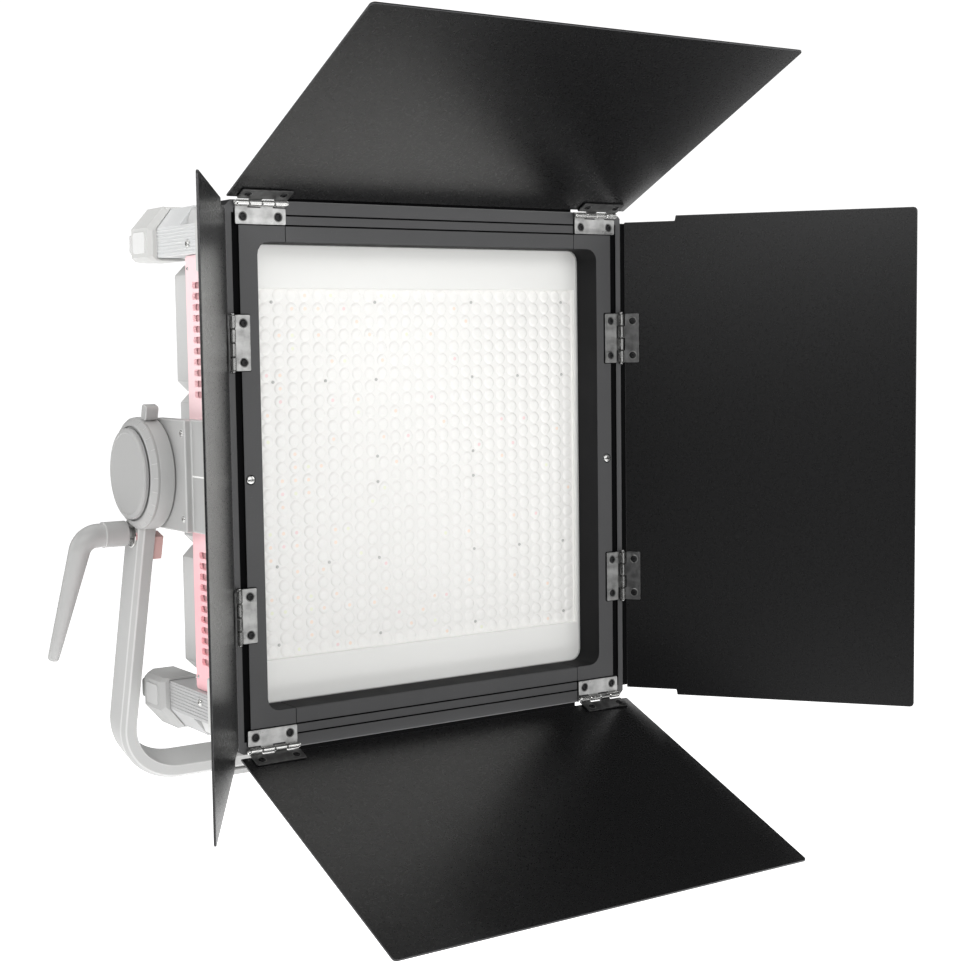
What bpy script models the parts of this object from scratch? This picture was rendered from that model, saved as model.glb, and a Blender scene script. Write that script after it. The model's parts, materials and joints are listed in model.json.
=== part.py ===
"""Studio LED panel light on a tilting yoke, with a four-leaf barn-door set.

Head frame: X to the right seen from the lamp's front, Y towards the rear, Z up,
with its origin at the centre of the barn-door frame's front face.
Yoke frame: origin on the tilt axis, Z up along the yoke's arms.
World frame: origin at the mouth of the stand receiver under the yoke.
"""
import math

import bmesh
import bpy
from mathutils import Matrix

for old in list(bpy.data.objects):
    bpy.data.objects.remove(old, do_unlink=True)

# ---------------------------------------------------------------- sizes, in metres
GAP = 0.0003            # clearance between touching pieces

# barn-door frame
OPEN_W = 0.1502         # half width of the light opening
OPEN_H = 0.1680         # half height of the light opening
OPEN_R = 0.009          # corner radius of the opening
STILE_FACE = 0.0243     # width of a side stile's front face
RAIL_FACE = 0.0290      # height of a top or bottom rail's front face
SEAM_X = 0.1277         # where the stiles meet the rails
FRAME_D = 0.026         # depth of the frame
FRAME_WALL = 0.003      # wall of the frame's channel section
FRAME_R = 0.004         # outer corner radius
FRAME_W = OPEN_W + STILE_FACE
FRAME_H = OPEN_H + RAIL_FACE
SEAL_Y = 0.0033         # light seal's front, behind the frame's front face
SEAL_T = 0.0015
SEAL_SIDE = 0.0085      # how far the seal stands out from a stile
SEAL_TOP = 0.0045       # and from the top rail
SEAL_BOTTOM = 0.0055    # and from the bottom rail
SEAL_END = 0.0075       # top of a stile down to its seal

# leaf hinges
HINGE_L = 0.0395        # length of a hinge
HINGE_T = 0.0012        # plate thickness
HINGE_PLATE = 0.0147    # hinge axis to a plate's far edge
BARREL_R = 0.0025
PIN_R = 0.0011
PIN_OUT = 0.0015        # pin length past each end of the barrel
BORE_R = 0.0013
KNUCKLES = 4
TOP_AXIS_IN = 0.0023    # top and bottom hinge axes lie this far inside the frame's edge
SIDE_AXIS_IN = 0.0019   # side hinge axes lie this far inside the frame's edge
TOP_HINGE_X = 0.1478    # centres of the hinges on the rails
SIDE_HINGE_Z = 0.0970   # centres of the hinges on the stiles

# leaves
LEAF_T = 0.0015
LEAF_TOP_START = TOP_AXIS_IN + 0.0005    # hinge axis to the near edge of a top leaf
LEAF_SIDE_START = SIDE_AXIS_IN + 0.0007  # and of a side leaf
LEAF_TOP_L = 0.2262     # length of the top and bottom leaves
LEAF_TOP_W = 0.1750     # their half width
LEAF_SIDE_L = 0.2304    # length of the side leaves
LEAF_SIDE_W = 0.1900    # their half width by the hinge
LEAF_STEP = 0.0043      # extra half width past the step
LEAF_STEP_AT = 0.0414   # near edge to the step
LEAF_R = 0.003
TOP_UP = 25.5           # leaf angles from straight ahead, outwards, in degrees
BOTTOM_DOWN = 22.0
RIGHT_OUT = 38.0
LEFT_OUT = 28.9

# lamp body
BODY_W = 0.1665         # half width of the shell
BODY_H = 0.1990         # half height of the shell
BODY_FRONT = FRAME_D + 0.0005
BODY_BACK = 0.0810
BODY_CHAMFER = 0.0110
BODY_WALL = 0.004
WINDOW_T = 0.0045
LENS_T = 0.0015
ARRAY_W = 0.1475        # half width of the lit area
ARRAY_H = 0.1365        # half height of the lit area
PANEL_T = 0.0025        # vented side panel
PANEL_H = 0.1615
SLOT_COUNT = 11
SLOT_PITCH = 0.0080
SLOT_H = 0.0049
SLOT_FIRST = 0.0595     # centre height of the slot nearest the middle
SLOT_Y0 = 0.0380
SLOT_Y1 = 0.0700

# rear housings
COVER_W = 0.1520
COVER_LOW = 0.0603      # lower edge of the upper rear cover
COVER_HIGH = 0.1575
COVER_BACK = 0.1500
BOX_W = 0.1500
BOX_H = COVER_LOW - 0.0006
BOX_BACK = 0.1460
SKIN = 0.003
FAN_Z = 0.5 * (COVER_LOW + COVER_HIGH)
FAN_R = 0.034
FAN_Y = 0.1080          # middle of the rotors
FAN_HUB_L = 0.0140

# rear guard frames and corner caps
RAIL_X = 0.1732         # outer face of the guard rails
RAIL_LOW = 0.1620
RAIL_SIDE = 0.0220      # height of the ribbed side face
GUARD_BACK = 0.1600
GUARD_W = 0.0220
CAP_X = 0.1800
CAP_TOP = 0.2010
CAP_LOW = 0.1600
CAP_Y0 = 0.1220
CAP_Y1 = 0.1680

# tilt pivot and yoke
TILT_Y = 0.1190         # tilt axis behind the frame's front face
LEAN = 17.0             # yoke leans back from the head, in degrees
YOKE_OUT = 0.1960       # half width over the yoke's arms
YOKE_T = 0.0128         # bar thickness
YOKE_BAR = 0.0300       # bar width
YOKE_LEN = 0.2636       # tilt axis to the yoke's underside
YOKE_R = 0.0560         # outer bend radius
EYE_R = 0.0425
EYE_OUT = 0.2007
AXLE_R = 0.0160
PIVOT_CAP_R = 0.0344
BRACKET_X = 0.1770
BLOCK_X = YOKE_OUT - YOKE_T - 0.0007
LEVER_Z = -0.0485
LEVER_R = 0.0098
FOOT_W = 0.0980
FOOT_T = 0.0050
FLANGE_R = 0.0240
FLANGE_T = 0.0050
TUBE_R = 0.0150
TUBE_L = 0.0450
SOCKET_R = 0.0081
SOCKET_DEPTH = 0.0380

FOOT_TOP = -YOKE_LEN - GAP
FLANGE_TOP = FOOT_TOP - FOOT_T - GAP
TUBE_TOP = FLANGE_TOP - FLANGE_T
MOUTH = TUBE_TOP - TUBE_L

lean = math.radians(LEAN)
HEAD = Matrix.Translation((0, -TILT_Y + MOUTH * math.sin(lean), -MOUTH * math.cos(lean)))
YOKE = HEAD @ Matrix.Translation((0, TILT_Y, 0)) @ Matrix.Rotation(lean, 4, 'X')


# ---------------------------------------------------------------- materials
def material(name, colour, roughness, metallic=0.0):
    made = bpy.data.materials.new(name)
    made.use_nodes = True
    shader = made.node_tree.nodes['Principled BSDF']
    shader.inputs['Base Color'].default_value = (*colour, 1.0)
    shader.inputs['Roughness'].default_value = roughness
    shader.inputs['Metallic'].default_value = metallic
    return made


BLACK = (0.012, 0.012, 0.013)
CHARCOAL = (0.070, 0.070, 0.072)
NICKEL = (0.66, 0.65, 0.62)
PALE = (0.52, 0.52, 0.51)
PALE_DEEP = (0.42, 0.42, 0.41)
RIBBED = (0.62, 0.63, 0.63)
ROSE = (0.80, 0.38, 0.40)
WHITE = (0.80, 0.80, 0.78)


# ---------------------------------------------------------------- shape helpers
def place(u, v, w, axis):
    """Point with outline coordinates u, v and position w along the axis."""
    if axis == 'X':
        return (w, u, v)
    if axis == 'Y':
        return (u, w, v)
    return (u, v, w)


def loft(mesh, rings):
    """Closed skin through rings of equal length, capped at both ends."""
    loops = [[mesh.verts.new(point) for point in ring] for ring in rings]
    count = len(loops[0])
    for lower, upper in zip(loops, loops[1:]):
        for i in range(count):
            j = (i + 1) % count
            mesh.faces.new((lower[i], lower[j], upper[j], upper[i]))
    mesh.faces.new(list(reversed(loops[0])))
    mesh.faces.new(loops[-1])


def prism(mesh, outline, axis, start, end):
    loft(mesh, [[place(u, v, w, axis) for u, v in outline] for w in (start, end)])


def box(mesh, low, high):
    outline = [(low[0], low[1]), (high[0], low[1]), (high[0], high[1]), (low[0], high[1])]
    prism(mesh, outline, 'Z', low[2], high[2])


def circle(u, v, radius, count, turn=0.0):
    step = 2 * math.pi / count
    return [(u + radius * math.cos(turn + i * step), v + radius * math.sin(turn + i * step))
            for i in range(count)]


def cylinder(mesh, axis, centre, radius, start, end, count=24):
    prism(mesh, circle(centre[0], centre[1], radius, count), axis, start, end)


def turned(mesh, axis, centre, profile, count=24):
    """Round solid from (position, radius) pairs along the axis."""
    rings = []
    for w, radius in profile:
        rings.append([place(u, v, w, axis) for u, v in circle(centre[0], centre[1], radius, count)])
    loft(mesh, rings)


def rounded(low, high, radius, steps=3):
    """Rectangle outline with rounded corners; steps of 1 gives chamfers."""
    corners = [(high[0] - radius, high[1] - radius, 0), (low[0] + radius, high[1] - radius, 90),
               (low[0] + radius, low[1] + radius, 180), (high[0] - radius, low[1] + radius, 270)]
    points = []
    for u, v, first in corners:
        for i in range(steps + 1):
            angle = math.radians(first + 90 * i / steps)
            points.append((u + radius * math.cos(angle), v + radius * math.sin(angle)))
    return points


def oblong(u0, u1, radius, steps=8):
    """Outline with a square end at u0 and a half-round end centred on u1."""
    points = [(u0, -radius)]
    for i in range(2 * steps + 1):
        angle = math.radians(-90 + 90 * i / steps)
        points.append((u1 + radius * math.cos(angle), radius * math.sin(angle)))
    points.append((u0, radius))
    return points


def mirrored(outline):
    return [(-u, v) for u, v in outline]


def settle(mesh):
    bmesh.ops.recalc_face_normals(mesh, faces=mesh.faces)


def make(name, mesh, matrix, look, smooth=False):
    settle(mesh)
    data = bpy.data.meshes.new(name)
    mesh.to_mesh(data)
    mesh.free()
    return make_from(name, data, matrix, look, smooth)


def make_from(name, data, matrix, look, smooth=False):
    made = bpy.data.objects.new(name, data)
    bpy.context.scene.collection.objects.link(made)
    made.matrix_world = matrix
    if not data.materials:
        data.materials.append(look)
    for face in data.polygons:
        face.use_smooth = smooth
    return made


def tool(target, mesh, operation):
    """Adds one boolean step to the target from a hidden helper solid."""
    settle(mesh)
    label = target.name + '_' + operation.lower() + str(len(target.modifiers))
    data = bpy.data.meshes.new(label)
    mesh.to_mesh(data)
    mesh.free()
    helper = bpy.data.objects.new(label, data)
    bpy.context.scene.collection.objects.link(helper)
    helper.matrix_world = target.matrix_world
    helper.hide_render = True
    helper.display_type = 'WIRE'
    step = target.modifiers.new(label, 'BOOLEAN')
    step.operation = operation
    step.solver = 'EXACT'
    step.object = helper


def cut(target, mesh):
    tool(target, mesh, 'DIFFERENCE')


def fuse(target, mesh):
    tool(target, mesh, 'UNION')


def at(base, x, y, z):
    return base @ Matrix.Translation((x, y, z))


# ---------------------------------------------------------------- barn-door frame
def stile_outline(inset, seam):
    """C-shaped outline of the right stile, shrunk by inset on its long sides."""
    points = [(seam, OPEN_H + inset)]
    radius = OPEN_R + inset
    for i in range(5):
        angle = math.radians(90 - 90 * i / 4)
        points.append((OPEN_W - OPEN_R + radius * math.cos(angle),
                       OPEN_H - OPEN_R + radius * math.sin(angle)))
    lower = [(u, -v) for u, v in reversed(points)]
    outer_u = FRAME_W - inset
    outer_v = FRAME_H - inset
    chamfer = FRAME_R - inset
    back = [(outer_u - chamfer, -outer_v), (outer_u, -outer_v + chamfer),
            (outer_u, outer_v - chamfer), (outer_u - chamfer, outer_v), (seam, outer_v)]
    return points + lower + [(seam, -outer_v)] + back


def build_stile(name, side, look):
    flip = mirrored if side < 0 else list
    mesh = bmesh.new()
    prism(mesh, flip(stile_outline(0.0, SEAM_X + GAP)), 'Y', 0.0, FRAME_D)
    stile = make(name, mesh, HEAD, look)
    mesh = bmesh.new()
    channel = stile_outline(FRAME_WALL, SEAM_X - 0.002)
    prism(mesh, flip(channel), 'Y', FRAME_WALL, FRAME_D + 0.002)
    cut(stile, mesh)
    mesh = bmesh.new()
    groove = [(FRAME_W - 0.0100, -FRAME_H + 0.009), (FRAME_W - 0.0048, -FRAME_H + 0.009),
              (FRAME_W - 0.0048, FRAME_H - 0.009), (FRAME_W - 0.0100, FRAME_H - 0.009)]
    prism(mesh, flip(groove), 'Y', -0.001, 0.0014)
    cut(stile, mesh)
    mesh = bmesh.new()
    cylinder(mesh, 'Y', (side * (OPEN_W + 0.0095), 0.0), 0.0036, -0.002, FRAME_WALL + 0.002, 16)
    cut(stile, mesh)
    mesh = bmesh.new()
    seal = [(FRAME_W - 0.001, -FRAME_H + SEAL_END), (FRAME_W + SEAL_SIDE, -FRAME_H + SEAL_END),
            (FRAME_W + SEAL_SIDE, FRAME_H - SEAL_END), (FRAME_W - 0.001, FRAME_H - SEAL_END)]
    prism(mesh, flip(seal), 'Y', SEAL_Y, SEAL_Y + SEAL_T)
    fuse(stile, mesh)


def build_rail(name, side, seal, look):
    """Extruded rail, open to the rear, with two fine grooves and a thin inner lip."""
    low = OPEN_H
    high = FRAME_H
    wall = FRAME_WALL
    profile = [(FRAME_D, low), (0.0008, low), (0.0, low + 0.0008)]
    for height in (0.0118, 0.0189):
        profile += [(0.0, low + height - 0.0005), (0.0009, low + height - 0.0005),
                    (0.0009, low + height + 0.0005), (0.0, low + height + 0.0005)]
    profile += [(0.0, high - 0.0008), (0.0008, high), (FRAME_D, high), (FRAME_D, high - wall),
                (wall, high - wall), (wall, low + wall), (FRAME_D, low + wall)]
    mesh = bmesh.new()
    prism(mesh, [(y, side * z) for y, z in profile], 'X', -SEAM_X, SEAM_X)
    rail = make(name, mesh, HEAD, look)
    edges = sorted((side * (high - 0.001), side * (high + seal)))
    mesh = bmesh.new()
    box(mesh, (-SEAM_X, SEAL_Y, edges[0]), (SEAM_X, SEAL_Y + SEAL_T, edges[1]))
    fuse(rail, mesh)


# ---------------------------------------------------------------- hinges and leaves
def knuckle_span(index):
    pitch = HINGE_L / KNUCKLES
    start = -HINGE_L / 2 + index * pitch
    return start + GAP / 2, start + pitch - GAP / 2


def add_knuckles(mesh, first, side):
    """Knuckle cylinders and the straps that tie them to the plate."""
    for index in range(first, KNUCKLES, 2):
        start, end = knuckle_span(index)
        prism(mesh, circle(0.0, 0.0, BARREL_R, 12, math.radians(15)), 'X', start, end)


def add_straps(mesh, first, side):
    reach = BARREL_R + 2 * GAP
    for index in range(first, KNUCKLES, 2):
        start, end = knuckle_span(index)
        low = sorted((side * 0.0002, side * (reach + 0.0005)))
        box(mesh, (start + 0.00002, BARREL_R - HINGE_T, low[0]), (end - 0.00002, BARREL_R - 0.00012, low[1]))


def add_plate(mesh, side):
    near = BARREL_R + 2 * GAP
    low, high = sorted((side * near, side * HINGE_PLATE))
    outline = rounded((-HINGE_L / 2, low), (HINGE_L / 2, high), 0.0008, 1)
    prism(mesh, outline, 'Y', BARREL_R - HINGE_T, BARREL_R)


def build_hinge_half(name, matrix, side, look):
    """Side -1 is the half on the frame, with the pin; side +1 the half on the leaf."""
    first = 0 if side < 0 else 1
    mesh = bmesh.new()
    add_plate(mesh, side)
    half = make(name, mesh, matrix, look)
    mesh = bmesh.new()
    add_straps(mesh, first, side)
    fuse(half, mesh)
    mesh = bmesh.new()
    add_knuckles(mesh, first, side)
    fuse(half, mesh)
    mesh = bmesh.new()
    reach = HINGE_L / 2 + PIN_OUT
    if side < 0:
        cylinder(mesh, 'X', (0.0, 0.0), PIN_R, -reach, reach, 10)
        fuse(half, mesh)
    else:
        cylinder(mesh, 'X', (0.0, 0.0), BORE_R, -reach, reach, 10)
        cut(half, mesh)


def leaf_outline(near, length, half_width, step):
    """Leaf outline with its near edge by the hinge axis and rounded far corners."""
    far = near + length
    wide = half_width + step
    points = [(half_width, near)]
    if step > 0:
        points += [(half_width, near + LEAF_STEP_AT), (wide, near + LEAF_STEP_AT + 0.0008)]
    for i in range(4):
        angle = math.radians(90 * i / 3)
        points.append((wide - LEAF_R + LEAF_R * math.cos(angle),
                       far - LEAF_R + LEAF_R * math.sin(angle)))
    return points + [(-u, v) for u, v in reversed(points)]


def build_leaf(side, turn, outwards, axis_at, centres, near, length, half_width, step, leaf_look, hinge_look):
    """One leaf with its two hinges; turn is the side's angle about the lamp's axis."""
    about = Matrix.Rotation(math.radians(turn), 4, 'Y')
    swing = Matrix.Rotation(math.radians(90 - outwards), 4, 'X')
    root = at(HEAD, axis_at[0], -BARREL_R - GAP, axis_at[1]) @ about
    mesh = bmesh.new()
    prism(mesh, leaf_outline(near, length, half_width, step), 'Y', BARREL_R + GAP, BARREL_R + GAP + LEAF_T)
    make('leaf_' + side, mesh, root @ swing, leaf_look)
    for tag, centre in zip(('a', 'b'), centres):
        fixed = root @ Matrix.Translation((centre, 0, 0))
        build_hinge_half('hinge_frame_' + side + '_' + tag, fixed, -1, hinge_look)
        moving = root @ swing @ Matrix.Translation((centre, 0, 0))
        build_hinge_half('hinge_leaf_' + side + '_' + tag, moving, 1, hinge_look)


# ---------------------------------------------------------------- lamp body
def build_shell(look):
    mesh = bmesh.new()
    outline = rounded((-BODY_W, -BODY_H), (BODY_W, BODY_H), BODY_CHAMFER, 2)
    prism(mesh, outline, 'Y', BODY_FRONT, BODY_BACK)
    shell = make('body_shell', mesh, HEAD, look)
    mesh = bmesh.new()
    inner_w = BODY_W - BODY_WALL
    inner_h = BODY_H - BODY_WALL
    outline = rounded((-inner_w, -inner_h), (inner_w, inner_h), BODY_CHAMFER - 0.002, 2)
    prism(mesh, outline, 'Y', BODY_FRONT + BODY_WALL, BODY_BACK - BODY_WALL)
    cut(shell, mesh)
    mesh = bmesh.new()
    outline = rounded((-OPEN_W, -OPEN_H), (OPEN_W, OPEN_H), OPEN_R, 4)
    prism(mesh, outline, 'Y', BODY_FRONT - 0.003, BODY_FRONT + BODY_WALL + 0.002)
    cut(shell, mesh)
    mesh = bmesh.new()
    low = SLOT_FIRST - 0.004
    high = SLOT_FIRST + (SLOT_COUNT - 1) * SLOT_PITCH + 0.004
    for side in (-1, 1):
        for x in (-1, 1):
            zs = sorted((side * low, side * high))
            xs = sorted((x * (BODY_W - BODY_WALL - 0.003), x * (BODY_W + 0.003)))
            box(mesh, (xs[0], SLOT_Y0 - 0.002, zs[0]), (xs[1], SLOT_Y1 + 0.002, zs[1]))
        cylinder(mesh, 'Y', (0.0, side * FAN_Z), FAN_R + 0.003, BODY_BACK - BODY_WALL - 0.003,
                 BODY_BACK + 0.003, 24)
    box(mesh, (-0.040, BODY_BACK - BODY_WALL - 0.003, -0.012), (0.040, BODY_BACK + 0.003, 0.012))
    cut(shell, mesh)


def build_window(frame_look, lens_look):
    edge = OPEN_W - GAP
    edge_h = OPEN_H - GAP
    front = BODY_FRONT + 0.0005
    mesh = bmesh.new()
    prism(mesh, rounded((-edge, -edge_h), (edge, edge_h), OPEN_R - GAP, 4), 'Y', front, front + WINDOW_T)
    border = make('window_frame', mesh, HEAD, frame_look)
    mesh = bmesh.new()
    box(mesh, (-ARRAY_W, front - 0.002, -ARRAY_H), (ARRAY_W, front + WINDOW_T + 0.002, ARRAY_H))
    cut(border, mesh)
    mesh = bmesh.new()
    wide = ARRAY_W - GAP
    high = ARRAY_H - GAP
    box(mesh, (-wide, front + WINDOW_T - LENS_T, -high), (wide, front + WINDOW_T, high))
    make('lens_sheet', mesh, HEAD, lens_look)


def build_board(look):
    start = BODY_FRONT + 0.0005 + WINDOW_T + 0.0010
    mesh = bmesh.new()
    box(mesh, (-ARRAY_W, start, -0.150), (ARRAY_W, start + 0.002, 0.150))
    make('led_board', mesh, HEAD, look)
    return start + 0.002


def build_heat_sink(look, start):
    """Base plate with upright fins, drawn as one comb outline."""
    half = 0.140
    fins = 13
    pitch = 2 * (half - 0.001) / (fins - 1)
    base = start + GAP
    root = base + 0.004
    tip = BODY_BACK - BODY_WALL - 0.004
    outline = [(half, base), (-half, base)]
    for i in range(fins):
        x = -half + 0.001 + i * pitch
        outline += [(x - 0.001, tip), (x + 0.001, tip)]
        if i < fins - 1:
            outline += [(x + 0.001, root), (x + pitch - 0.001, root)]
    mesh = bmesh.new()
    prism(mesh, outline, 'Z', -0.140, 0.140)
    make('heat_sink', mesh, HEAD, look)


def build_side_panel(name, side, look):
    start = BODY_W + GAP
    xs = sorted((side * start, side * (start + PANEL_T)))
    mesh = bmesh.new()
    outline = rounded((BODY_FRONT + 0.005, -PANEL_H), (BODY_BACK, PANEL_H), 0.002, 1)
    prism(mesh, outline, 'X', xs[0], xs[1])
    panel = make(name, mesh, HEAD, look)
    mesh = bmesh.new()
    for up in (-1, 1):
        for i in range(SLOT_COUNT):
            z = up * (SLOT_FIRST + i * SLOT_PITCH)
            outline = rounded((SLOT_Y0, z - SLOT_H / 2), (SLOT_Y1, z + SLOT_H / 2), 0.0012, 1)
            prism(mesh, outline, 'X', xs[0] - 0.001, xs[1] + 0.001)
    cut(panel, mesh)


def housing(name, low, high, width, back, chamfer, look):
    """Rear housing open towards the shell, with a chamfered rear edge."""
    corner = 0.008
    front = BODY_BACK + GAP
    outer = rounded((-width, low), (width, high), corner, 1)
    small = rounded((-width + chamfer, low + chamfer), (width - chamfer, high - chamfer),
                    corner * 0.7, 1)
    mesh = bmesh.new()
    rings = [[place(u, v, front, 'Y') for u, v in outer],
             [place(u, v, back - chamfer, 'Y') for u, v in outer],
             [place(u, v, back, 'Y') for u, v in small]]
    loft(mesh, rings)
    body = make(name, mesh, HEAD, look)
    mesh = bmesh.new()
    inner = rounded((-width + SKIN, low + SKIN), (width - SKIN, high - SKIN), corner - 0.002, 1)
    tight = rounded((-width + SKIN + chamfer, low + SKIN + chamfer),
                    (width - SKIN - chamfer, high - SKIN - chamfer), corner * 0.5, 1)
    rings = [[place(u, v, front - 0.002, 'Y') for u, v in inner],
             [place(u, v, back - chamfer - SKIN * 0.4, 'Y') for u, v in inner],
             [place(u, v, back - SKIN, 'Y') for u, v in tight]]
    loft(mesh, rings)
    cut(body, mesh)
    return body


def build_cover(name, up, look):
    low, high = sorted((up * COVER_LOW, up * COVER_HIGH))
    cover = housing(name, low, high, COVER_W, COVER_BACK, 0.010, look)
    mesh = bmesh.new()
    for i in range(-4, 5):
        reach = math.sqrt(FAN_R * FAN_R - (i * 0.0075) ** 2)
        z = up * FAN_Z + i * 0.0075
        box(mesh, (-reach, COVER_BACK - SKIN - 0.002, z - 0.0019),
            (reach, COVER_BACK + 0.002, z + 0.0019))
    cut(cover, mesh)
    mesh = bmesh.new()
    cylinder(mesh, 'Y', (0.0, up * FAN_Z), 0.009, FAN_Y + FAN_HUB_L / 2 + GAP, COVER_BACK - 0.0005, 16)
    fuse(cover, mesh)


def build_fan(name, up, look):
    """Five-blade rotor on its own axis, behind the rear grille."""
    hub_r = 0.011
    half = FAN_HUB_L / 2
    mesh = bmesh.new()
    cylinder(mesh, 'Y', (0.0, 0.0), hub_r, -half, half, 20)
    rotor = make(name, mesh, at(HEAD, 0.0, FAN_Y, up * FAN_Z), look)
    mesh = bmesh.new()
    for i in range(5):
        blade = bmesh.new()
        box(blade, (hub_r - 0.002, -0.001, 0.0005 - half), (FAN_R - 0.002, 0.001, half - 0.0005))
        tilt = Matrix.Rotation(math.radians(35), 4, 'X')
        around = Matrix.Rotation(math.radians(72 * i), 4, 'Y')
        bmesh.ops.transform(blade, matrix=around @ tilt, verts=blade.verts)
        data = bpy.data.meshes.new('blade')
        blade.to_mesh(data)
        blade.free()
        mesh.from_mesh(data)
    fuse(rotor, mesh)


KNOB_AT = ((0.062, 0.012), (0.108, 0.012))
BUTTON_AT = (0.085, -0.030)
SWITCH_AT = (-0.112, 0.022)
INLET_AT = (-0.110, -0.024)
DISPLAY_AT = (-0.020, 0.006)


def build_control_box(look):
    shell = housing('control_box', -BOX_H, BOX_H, BOX_W, BOX_BACK, 0.006, look)
    mesh = bmesh.new()
    front = BOX_BACK - SKIN - 0.002
    back = BOX_BACK + 0.002
    for x, z in KNOB_AT:
        cylinder(mesh, 'Y', (x, z), 0.0036, front, back, 12)
    cylinder(mesh, 'Y', BUTTON_AT, 0.0058, front, back, 16)
    x, z = SWITCH_AT
    box(mesh, (x - 0.0115, front, z - 0.0085), (x + 0.0115, back, z + 0.0085))
    x, z = INLET_AT
    box(mesh, (x - 0.0145, front, z - 0.0105), (x + 0.0145, back, z + 0.0105))
    cut(shell, mesh)


def build_controls(dark, glass, pale):
    x, z = DISPLAY_AT
    mesh = bmesh.new()
    prism(mesh, rounded((x - 0.034, z - 0.021), (x + 0.034, z + 0.021), 0.002, 1), 'Y',
          BOX_BACK + GAP, BOX_BACK + 0.0020)
    make('display', mesh, HEAD, glass)
    for index, (x, z) in enumerate(KNOB_AT):
        mesh = bmesh.new()
        turned(mesh, 'Y', (0.0, 0.0), [(-0.0060, 0.0033), (0.0010, 0.0033), (0.0010, 0.0115),
                                       (0.0125, 0.0105), (0.0135, 0.0095)], 24)
        make('knob_' + 'ab'[index], mesh, at(HEAD, x, BOX_BACK, z), dark)
    x, z = BUTTON_AT
    mesh = bmesh.new()
    turned(mesh, 'Y', (0.0, 0.0), [(-0.0045, 0.0055), (0.0020, 0.0055), (0.0028, 0.0047)], 16)
    make('menu_button', mesh, at(HEAD, x, BOX_BACK, z), dark)
    x, z = SWITCH_AT
    mesh = bmesh.new()
    outline = [(0.0000, -0.0068), (0.0030, -0.0066), (0.0020, 0.0), (0.0030, 0.0066), (0.0, 0.0068),
               (-0.0040, 0.0058), (-0.0040, -0.0058)]
    prism(mesh, outline, 'X', -0.0100, 0.0100)
    make('power_switch', mesh, at(HEAD, x, BOX_BACK - 0.0010, z), dark)
    x, z = INLET_AT
    mesh = bmesh.new()
    prism(mesh, rounded((-0.0142, -0.0102), (0.0142, 0.0102), 0.0030, 1), 'Y', -0.0080, 0.0008)
    inlet = make('power_inlet', mesh, at(HEAD, x, BOX_BACK, z), dark)
    mesh = bmesh.new()
    prism(mesh, rounded((-0.0118, -0.0078), (0.0118, 0.0078), 0.0030, 1), 'Y', -0.0064, 0.0028)
    cut(inlet, mesh)
    mesh = bmesh.new()
    for offset in (-0.007, 0.0, 0.007):
        box(mesh, (offset - 0.001, -0.0070, -0.002), (offset + 0.001, -0.0015, 0.002))
    fuse(inlet, mesh)
    mesh = bmesh.new()
    box(mesh, (-0.120, 0.092, -0.046), (0.050, 0.0940, 0.046))
    board = make('driver_board', mesh, HEAD, pale)
    mesh = bmesh.new()
    box(mesh, (-0.100, 0.0935, -0.030), (-0.060, 0.118, 0.010))
    box(mesh, (-0.040, 0.0935, -0.035), (-0.015, 0.108, 0.030))
    box(mesh, (0.000, 0.0935, -0.020), (0.030, 0.112, 0.020))
    fuse(board, mesh)


# ---------------------------------------------------------------- guards and pivots
def guard_section(up):
    """Rail section in X and Z: ribbed side face, sloped shoulder and flat top."""
    side_top = RAIL_LOW + RAIL_SIDE
    inner = RAIL_X - GUARD_W
    top = BODY_H
    points = [(RAIL_X, RAIL_LOW), (RAIL_X, side_top), (RAIL_X - 0.0120, top), (inner, top),
              (inner, RAIL_LOW)]
    return [(x, up * z) for x, z in points]


def build_guard(name, up, look):
    """U-shaped rear guard: two side rails reaching forward and a cross bar."""
    start = BODY_BACK + GAP
    mesh = bmesh.new()
    prism(mesh, guard_section(up), 'Y', start, GUARD_BACK)
    guard = make(name, mesh, HEAD, look)
    mesh = bmesh.new()
    prism(mesh, mirrored(guard_section(up)), 'Y', start, GUARD_BACK)
    fuse(guard, mesh)
    mesh = bmesh.new()
    low, high = sorted((up * 0.1700, up * 0.1950))
    reach = RAIL_X - 0.5 * GUARD_W
    prism(mesh, rounded((GUARD_BACK - 0.0220, low), (GUARD_BACK - 0.0010, high), 0.004, 2), 'X',
          -reach, reach)
    fuse(guard, mesh)
    mesh = bmesh.new()
    low, high = sorted((up * RAIL_LOW, up * (RAIL_LOW + RAIL_SIDE)))
    for side in (-1, 1):
        xs = sorted((side * (BODY_W + GAP), side * RAIL_X))
        box(mesh, (xs[0], BODY_FRONT + 0.005, low), (xs[1], start + 0.004, high))
    fuse(guard, mesh)


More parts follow.
